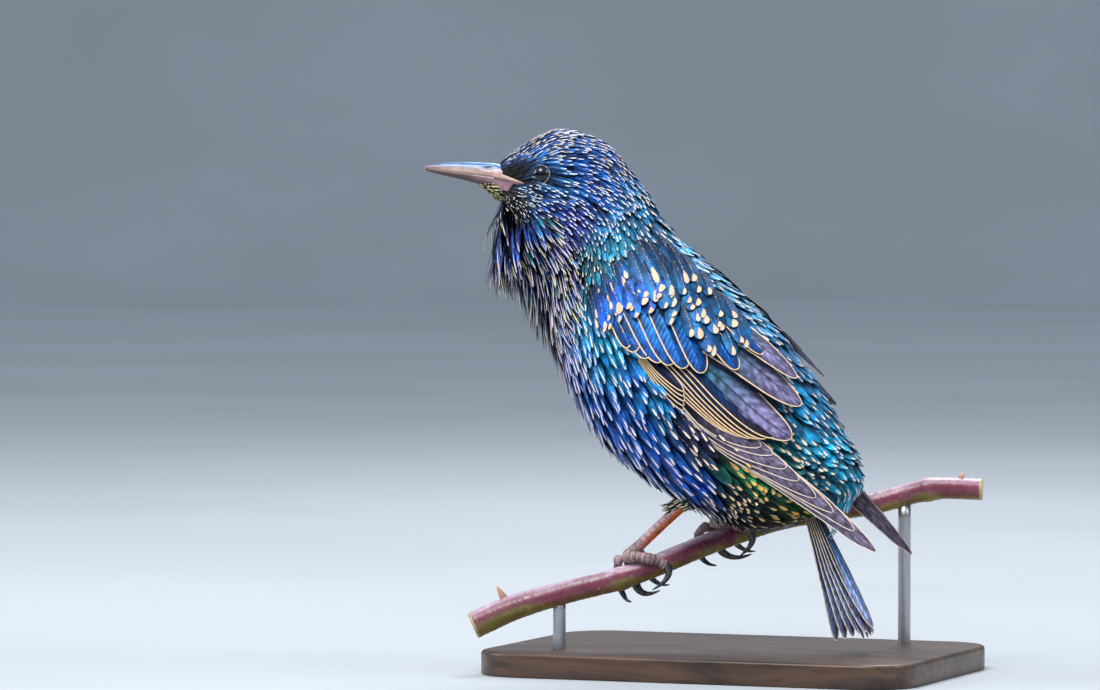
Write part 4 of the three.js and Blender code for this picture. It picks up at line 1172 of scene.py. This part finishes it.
def alongStem(t):
    at = np.clip(np.asarray(t, float), 0, 1) * (len(stemCurve) - 1)
    index = np.arange(len(stemCurve))
    pick = lambda u: np.stack([np.interp(u, index, stemCurve[:, i]) for i in range(3)], -1)
    direction = pick(at + 2) - pick(at - 2)
    return pick(at), direction / np.linalg.norm(direction, axis=-1, keepdims=True)


def stemRadius(t):
    swell = sum(0.5 * np.exp(-((t - j) / 0.012) ** 2) for j in stemLook["joints"])
    return stemLook["left"] + (stemLook["middle"] - stemLook["left"]) * smooth(t, 0, 0.25) + swell


def tube(points, radii, around, up=(0, 0, 1)):
    points = np.asarray(points, float)
    direction = np.gradient(points, axis=0)
    direction /= np.linalg.norm(direction, axis=1, keepdims=True)
    across = np.cross(direction, np.asarray(up, float))
    across /= np.linalg.norm(across, axis=1, keepdims=True)
    lift = np.cross(across, direction)
    turn = circle(around)
    radii = np.asarray(radii, float)
    radii = radii[:, None] if radii.ndim == 1 else radii
    wide = radii * np.cos(turn)
    high = radii * np.sin(turn)
    return points[:, None] + across[:, None] * wide[..., None] + lift[:, None] * high[..., None]


def stemMaterial():
    m = Nodes("roseBark")
    fine = m.noiseTexture(500, 4, distortion=1.5)
    blotch = m.ramp(m.noiseTexture(90, 5), 0.3, 0.7, 0.8, 1.15)
    base = m.shaded(m.colour("tint"), m.math("MULTIPLY", blotch, m.ramp(fine, 0.3, 0.75, 0.78, 1.18)))
    speck = m.math("MULTIPLY", m.ramp(m.noiseTexture(620, 2), 0.66, 0.72), 0.6)
    m.bump(m.math("ADD", fine, m.math("MULTIPLY", speck, 2.0)), 0.4, 0.0003)
    return m.set(Base_Color=m.mix(speck, base, (0.5, 0.32, 0.24, 1)), Roughness=0.38, Coat_Weight=0.25,
                 Coat_Roughness=0.25)


def stem():
    rows, around = stemLook["rows"], stemLook["around"]
    t, turn = np.linspace(0, 1, rows), circle(around)
    points, _ = alongStem(t)
    rng = np.random.default_rng(4)
    uneven = 1 + 0.02 * np.sin(turn * 3 + t[:, None] * 20) + 0.012 * rng.normal(size=(rows, 1))
    rings = tube(points, stemRadius(t)[:, None] * uneven, around)
    top = 0.5 + 0.5 * np.sin(turn)[None, :] + 0 * t[:, None]
    spread = noise(rings.reshape(-1, 3), 16, 2).reshape(rows, around)
    hues = ("topHighlight", "upper", "lower", "patch", "cut")
    topHighlight, upper, lower, patch, cut = (linear(stemLook[hue]) for hue in hues)
    colour = blend(lower, upper, smooth(top + 0.3 * (spread - 0.5), 0.22, 0.55)[..., None])
    # Painted highlight: the pale colour along the stem's upper side.
    colour = blend(colour, topHighlight, smooth(top + 0.15 * (spread - 0.5), 0.72, 0.95)[..., None])
    colour = blend(colour, patch, smooth(spread, 0.55, 0.9)[..., None] * 0.5)
    colour[(t < stemLook["cutShare"]) | (t > 1 - stemLook["cutShare"])] = cut
    loftPiece("stem_bark", rings, bark, ("perch_stem",), colour)


def spike(name, at, direction, length, width):
    start, _ = alongStem(at)
    way = np.array(direction) / np.linalg.norm(direction)
    k = np.linspace(0, 1, 20)
    line = start + np.outer(k * (float(stemRadius(at)) + length), way) + np.outer(k ** 2, (0.4, 0, -0.5))
    rings = tube(line, width * (1 - k) ** 0.8 + 0.12, 20, up=(0, 1, 0.2))
    colour = blend(linear(stemLook["spikeRoot"]), linear(stemLook["spikeTip"]), k[:, None, None])
    loftPiece(name, rings, bark, tint=np.broadcast_to(colour, rings.shape))


bark = stemMaterial()
stem()
for name, row in spikes.items():
    spike(name, *row)
print("stage: stem done")

# Feet: toes run round the stem, at a turn from its top over the far side
toes = {
    "hallux": dict(start=-14, end=-92, claw=-140, shift=(0, 0), slant=12.5, hook=-10, radius=1.8),
    "inner": dict(start=16, end=112, claw=176, shift=(-3.9, -7.2), slant=0, hook=3.5, radius=1.45),
    "middle": dict(start=12, end=140, claw=196, shift=(0, 1.4), slant=0, hook=7, radius=1.65),
    "outer": dict(start=16, end=112, claw=176, shift=(3.9, 7.6), slant=0, hook=3.5, radius=1.45),
}
footLook = {
    "shankRadius": 1.8, "shankFrontHighlight": "c4a0a8", "shankBack": "d8601c", "shankLow": "9c8480", "plate": 0.16,
    "ankleRadius": 2.2, "ankleHeight": 2.3, "ankle": "a88880", "scute": 0.26, "groove": "7c3438",
    "scale": "c0a4a4", "gap": 0.3,
}
# Rows along a piece and points round it
footMesh = {"shank": (150, 28), "ankleRows": 18, "toe": (110, 24), "claw": (48, 20), "toeUp": (0.3, 0.9, 0.4)}


def roundStem(middle, turn, shift, clear):
    t = middle + np.asarray(shift, float) / stemLength
    centre, along = alongStem(t)
    far = np.cross(np.array([0, 0, 1.0]), along)
    far /= np.linalg.norm(far, axis=-1, keepdims=True)
    up = np.cross(along, far)
    distance = stemRadius(t) + footLook["gap"] + clear
    turn = np.asarray(turn, float)
    return centre + up * (distance * np.cos(turn))[..., None] + far * (distance * np.sin(turn))[..., None]


def toePath(side, grip, toe, start, end, hook, clear, count):
    k = np.linspace(0, 1, count)
    turn = start + (end - start) * k
    share = np.clip((turn - toe["start"]) / (toe["claw"] - toe["start"]), 0, 1.2) ** 0.8
    shift = (toe["shift"][0] + (toe["shift"][1] - toe["shift"][0]) * share) * side + toe["slant"] * share
    return roundStem(grip, np.radians(turn), shift + hook * k ** 2, clear(k)), k


def scaleMaterial():
    m = Nodes("scaledSkin")
    cell = m.add("TexVoronoi", feature="DISTANCE_TO_EDGE")
    cell.inputs["Scale"].default_value = 1300
    m.link(m.add("TexCoord").outputs["Object"], cell.inputs["Vector"])
    edge = m.ramp(cell.outputs["Distance"], 0.0, 0.14)
    blotch = m.ramp(m.noiseTexture(400, 4), 0.3, 0.7, 0.75, 1.2)
    base = m.shaded(m.colour("tint"), m.math("MULTIPLY", m.ramp(edge, 0, 1, 0.5, 1.05), blotch))
    m.bump(m.math("ADD", edge, m.math("MULTIPLY", m.noiseTexture(900, 3), 0.6)), 0.55, 0.00025)
    return m.set(Base_Color=base, Roughness=0.42, Coat_Weight=0.15, Coat_Roughness=0.3)


def clawMaterial():
    m = Nodes("clawHorn")
    streak = m.ramp(m.noiseTexture(500, 4, distortion=1.2), 0.35, 0.7)
    m.bump(m.noiseTexture(900, 3), 0.25, 0.0002)
    return m.set(Base_Color=m.mix(streak, (0.018, 0.017, 0.02, 1), (0.11, 0.1, 0.1, 1)), Roughness=0.25,
                 Coat_Weight=0.3, Coat_Roughness=0.12)


scales, clawHorn = scaleMaterial(), clawMaterial()


def scutes(k, length, pitch, depth):  # overlapping plates: a low saw-tooth along the toe
    return depth * (1 - (k * length / pitch) % 1.0) ** 0.6


def shank(label, ball):
    rows, around = footMesh["shank"]
    k, turn = np.linspace(0, 1, rows), circle(around)
    line = ball + np.outer(k, np.array(legs[label]["heel"], float) - ball)
    radius = footLook["shankRadius"] + 0.4 * (2 * k - 1) ** 4
    front = smooth(np.cos(turn), -0.55, 0.2)[None, :]
    plates = scutes(k, 27, 2.3, footLook["plate"])[:, None] * front
    rings = tube(line, radius[:, None] * (1 + 0.03 * np.sin(turn * 2)) + plates, around, up=(0, 1, 0))
    groove = 1 - 0.5 * (plates / footLook["plate"] < 0.35) * front
    # The shank's front is the leg's lilac painted paler, as a painted highlight; its back is orange.
    warm = blend(linear(footLook["shankBack"]), linear(footLook["shankFrontHighlight"]), front[..., None])
    colour = blend(linear(footLook["shankLow"]), warm, smooth(k, 0.05, 0.4)[:, None, None])
    loftPiece(f"shank_{label}", rings, scales, (f"tarsus_{label}",), colour * groove[..., None])
    knob = [ball + footLook["ankleRadius"] * np.stack([
        np.cos(turn) * math.sin(p), np.sin(turn) * math.sin(p), np.full(around, math.cos(p))], -1)
        for p in np.linspace(0.05, math.pi - 0.05, footMesh["ankleRows"])]
    loftPiece(f"ankle_{label}", knob, scales,
              tint=np.broadcast_to(linear(footLook["ankle"]), np.shape(knob)))


def toePieces(label, name, toe, grip):
    side, ahead, up = legs[label]["side"], np.sign(toe["end"]), footMesh["toeUp"]
    rows, around = footMesh["toe"]
    pads = 3 if name == "middle" else 2
    path, k = toePath(side, grip, toe, toe["start"] - 4 * ahead, toe["end"], 0,
                      lambda q: toe["radius"] + 0.25 + 0 * q, rows)
    length = np.linalg.norm(np.diff(path, axis=0), axis=1).sum()
    radius = toe["radius"] * (1 - 0.16 * k + 0.1 * np.cos(2 * math.pi * pads * k))
    radius = radius * np.minimum(1, 0.55 + 6 * (1 - k)) - 0.1
    plates = scutes(k, length, 1.5, footLook["scute"])
    rings = tube(path, radius + plates, around, up=up)
    lower = np.clip((plates / footLook["scute"])[:, None, None], 0, 1)
    colour = linear(footLook["groove"]) * (1 - lower) * 0.6 + linear(footLook["scale"]) * lower * 0.9
    blotch = noise(rings.reshape(-1, 3), 4, 6).reshape(rows, around)[..., None]
    colour = np.broadcast_to(colour, rings.shape) * (0.75 + 0.5 * blotch)
    loftPiece(f"foot_{label}_{name}", rings, scales, (f"toe_{label}_{name}",), colour)
    rows, around = footMesh["claw"]
    path, k = toePath(side, grip, toe, toe["end"] - 8 * ahead, toe["claw"], toe["hook"],
                      lambda q: toe["radius"] + 0.2 + 2.4 * np.sin(1.7 * q), rows)
    rings = tube(path, toe["radius"] * 0.88 * (1 - k) ** 0.7 + 0.1, around, up=up)
    loftPiece(f"talon_{label}_{name}", rings, clawHorn, (f"claw_{label}_{name}",))


for label, leg in legs.items():
    centre, _ = alongStem(finerStem)
    grip = finerStem[np.argmin(np.linalg.norm(centre - np.array(leg["grip"]), axis=1))]
    shank(label, roundStem(grip, 0.0, 0.0, footLook["ankleHeight"]))
    for name, toe in toes.items():
        toePieces(label, name, toe, grip)
print("stage: feet done")

# Stand
stand = {"length": 150, "width": 100, "height": 8, "corner": 16, "edge": 1.2, "rodRadius": 2.1,
         "cornerSteps": 16, "rods": {"left": (-42.8, -22.3), "right": (56, 39.2)}}


def woodMaterial():
    m = Nodes("standWood")
    coordinate = m.stretched((12, 90, 90))
    grain = m.noiseTexture(1.6, 6, coordinate, 1.2)
    pores = m.math("MULTIPLY", m.ramp(m.noiseTexture(6, 4, coordinate), 0.55, 0.7), 0.5)
    base = m.mix(m.ramp(grain, 0.3, 0.7), (0.035, 0.018, 0.011, 1), (0.12, 0.06, 0.034, 1))
    m.bump(m.math("SUBTRACT", grain, pores), 0.2, 0.0004)
    return m.set(Base_Color=m.mix(pores, base, (0.02, 0.01, 0.008, 1)), Roughness=0.4, Coat_Weight=0.2,
                 Coat_Roughness=0.2)


def steelMaterial():
    m = Nodes("rodSteel")
    line = m.noiseTexture(1.0, 3, m.stretched((400, 400, 4000)))
    m.bump(line, 0.08, 0.0001)
    return m.set(Base_Color=m.mix(line, (0.42, 0.42, 0.44, 1), (0.62, 0.62, 0.64, 1)),
                 Roughness=m.ramp(line, 0.2, 0.8, 0.25, 0.42), Metallic=1.0)


def plateRing(z, inset):
    x, y = stand["length"] / 2 - stand["corner"], stand["width"] / 2 - stand["corner"]
    r = stand["corner"] - inset
    points = []
    for sx, sy, start in ((1, 1, 0), (-1, 1, 90), (-1, -1, 180), (1, -1, 270)):
        for a in np.radians(np.linspace(start, start + 90, stand["cornerSteps"] + 1)):
            points.append((sx * x + r * math.cos(a), sy * y + r * math.sin(a), z))
    return np.array(points) - birdOffset


def basePlate():
    edge, height = stand["edge"], stand["height"]
    profile = [(0, 0.6), (0.25, 0.2), (0.6, 0)]
    profile += [(height - edge + edge * math.sin(a), edge * (1 - math.cos(a)))
                for a in np.linspace(0, math.pi / 2, 7)]
    profile += [(height, edge + 3), (height, 15)]
    loftPiece("base_plate", [plateRing(z, inset) for z, inset in profile], woodMaterial(),
              ("stand_base",))


def rod(label, x, y):  # it ends just inside the stem above it
    centre, _ = alongStem(finerStem)
    nearest = np.argmin(np.hypot(centre[:, 0] - x, centre[:, 1] - y))
    top = centre[nearest, 2] - float(stemRadius(finerStem[nearest])) + 0.8
    z = np.linspace(3, top, 12)
    rings = tube(np.stack([0 * z + x, 0 * z + y, z], -1), np.full(12, stand["rodRadius"]), 48, up=(0, 1, 0))
    loftPiece(f"rod_{label}", rings, steel, (f"stand_rod_{label}",))


basePlate()
steel = steelMaterial()
for label, (x, y) in stand["rods"].items():
    rod(label, x, y)
print("stage: stand done")

# Studio: a round floor that bends up into a wall far behind, soft lights, and the camera
studio = {"floor": 4.4, "bend": 1.2, "wall": 2.6, "around": 96, "tone": (0.43, 0.465, 0.5, 1),
          "middle": (0, 0, 0.1), "sky": (0.8, 0.88, 1.0, 1), "skyStrength": 0.75}
# Lights: azimuth, elevation, distance, size, watts and colour
lights = {
    "key": (-8, 58, 1.3, 0.7, 15, (1, 0.97, 0.93)),
    "left": (-70, 25, 1.5, 0.7, 7, (0.93, 0.97, 1)),
    "right": (95, 35, 1.6, 0.8, 6, (0.95, 0.98, 1)),
    "behind": (190, 50, 1.3, 0.6, 9, (1, 1, 1)),
}


def floorMaterial():
    m = Nodes("paleFloor")
    patches = m.ramp(m.noiseTexture(3, 3), 0.3, 0.7, 0.96, 1.04)
    return m.set(Base_Color=m.shaded(studio["tone"], patches), Roughness=0.9)


def studioFloor():
    around, bend = studio["around"], studio["bend"]
    sweep = [(0.01, 0.0)] + [(r, 0.0) for r in np.linspace(0.6, studio["floor"], 8)]
    sweep += [(studio["floor"] + bend * math.sin(a), bend * (1 - math.cos(a)))
              for a in np.linspace(0.1, math.pi / 2, 14)]
    sweep += [(studio["floor"] + bend, studio["wall"])]
    verts = [(r * math.cos(a), r * math.sin(a), z) for r, z in sweep for a in circle(around)]
    mesh = bpy.data.meshes.new("floor")
    mesh.from_pydata(verts, [], gridFaces(len(sweep), around, True).tolist() + [list(range(around))])
    mesh.polygons.foreach_set("use_smooth", np.ones(len(mesh.polygons), bool))
    floor = bpy.data.objects.new("floor", mesh)
    bpy.context.scene.collection.objects.link(floor)
    mesh.materials.append(floorMaterial())


def toward(azimuth, elevation):  # the direction from the bird to a place round it
    a, e = math.radians(azimuth), math.radians(elevation)
    return np.array([math.sin(a) * math.cos(e), -math.cos(a) * math.cos(e), math.sin(e)])


def lamp(name, azimuth, elevation, distance, size, watts, tone):
    data = bpy.data.lights.new(name, "AREA")
    data.shape, data.size, data.energy, data.color = "DISK", size, watts, tone
    obj = bpy.data.objects.new(name, data)
    away = toward(azimuth, elevation)
    obj.location = Vector(np.array(studio["middle"]) + away * distance)
    obj.rotation_euler = Vector(away).to_track_quat("Z", "Y").to_euler()
    bpy.context.scene.collection.objects.link(obj)


def camera():
    azimuth, elevation = math.radians(photo["azimuth"]), math.radians(photo["elevation"])
    back = toward(photo["azimuth"], photo["elevation"])
    right = np.array([math.cos(azimuth), math.sin(azimuth), 0])
    up = np.cross(back, right)
    (wide, high), (originX, originY) = photo["size"], photo["originPixel"]
    offset = ((wide / 2 - originX) * right + (originY - high / 2) * up) * photo["mmPerPixel"]
    distance = wide * photo["mmPerPixel"] / 1000 * photo["lens"] / photo["sensor"]
    obj = bpy.data.objects.new("camera", bpy.data.cameras.new("camera"))
    obj.data.lens, obj.data.sensor_width, obj.data.clip_end = photo["lens"], photo["sensor"], 20
    obj.location = Vector(place(offset) + back * distance)
    obj.rotation_euler = (math.pi / 2 - elevation, 0, azimuth)
    bpy.context.scene.collection.objects.link(obj)
    bpy.context.scene.camera = obj


studioFloor()
for name, row in lights.items():
    lamp(name, *row)
world = bpy.data.worlds.new("studio")
bpy.context.scene.world = world
world.use_nodes = True
world.node_tree.nodes["Background"].inputs[0].default_value = studio["sky"]
world.node_tree.nodes["Background"].inputs[1].default_value = studio["skyStrength"]
bpy.context.scene.view_settings.view_transform = "Standard"
camera()
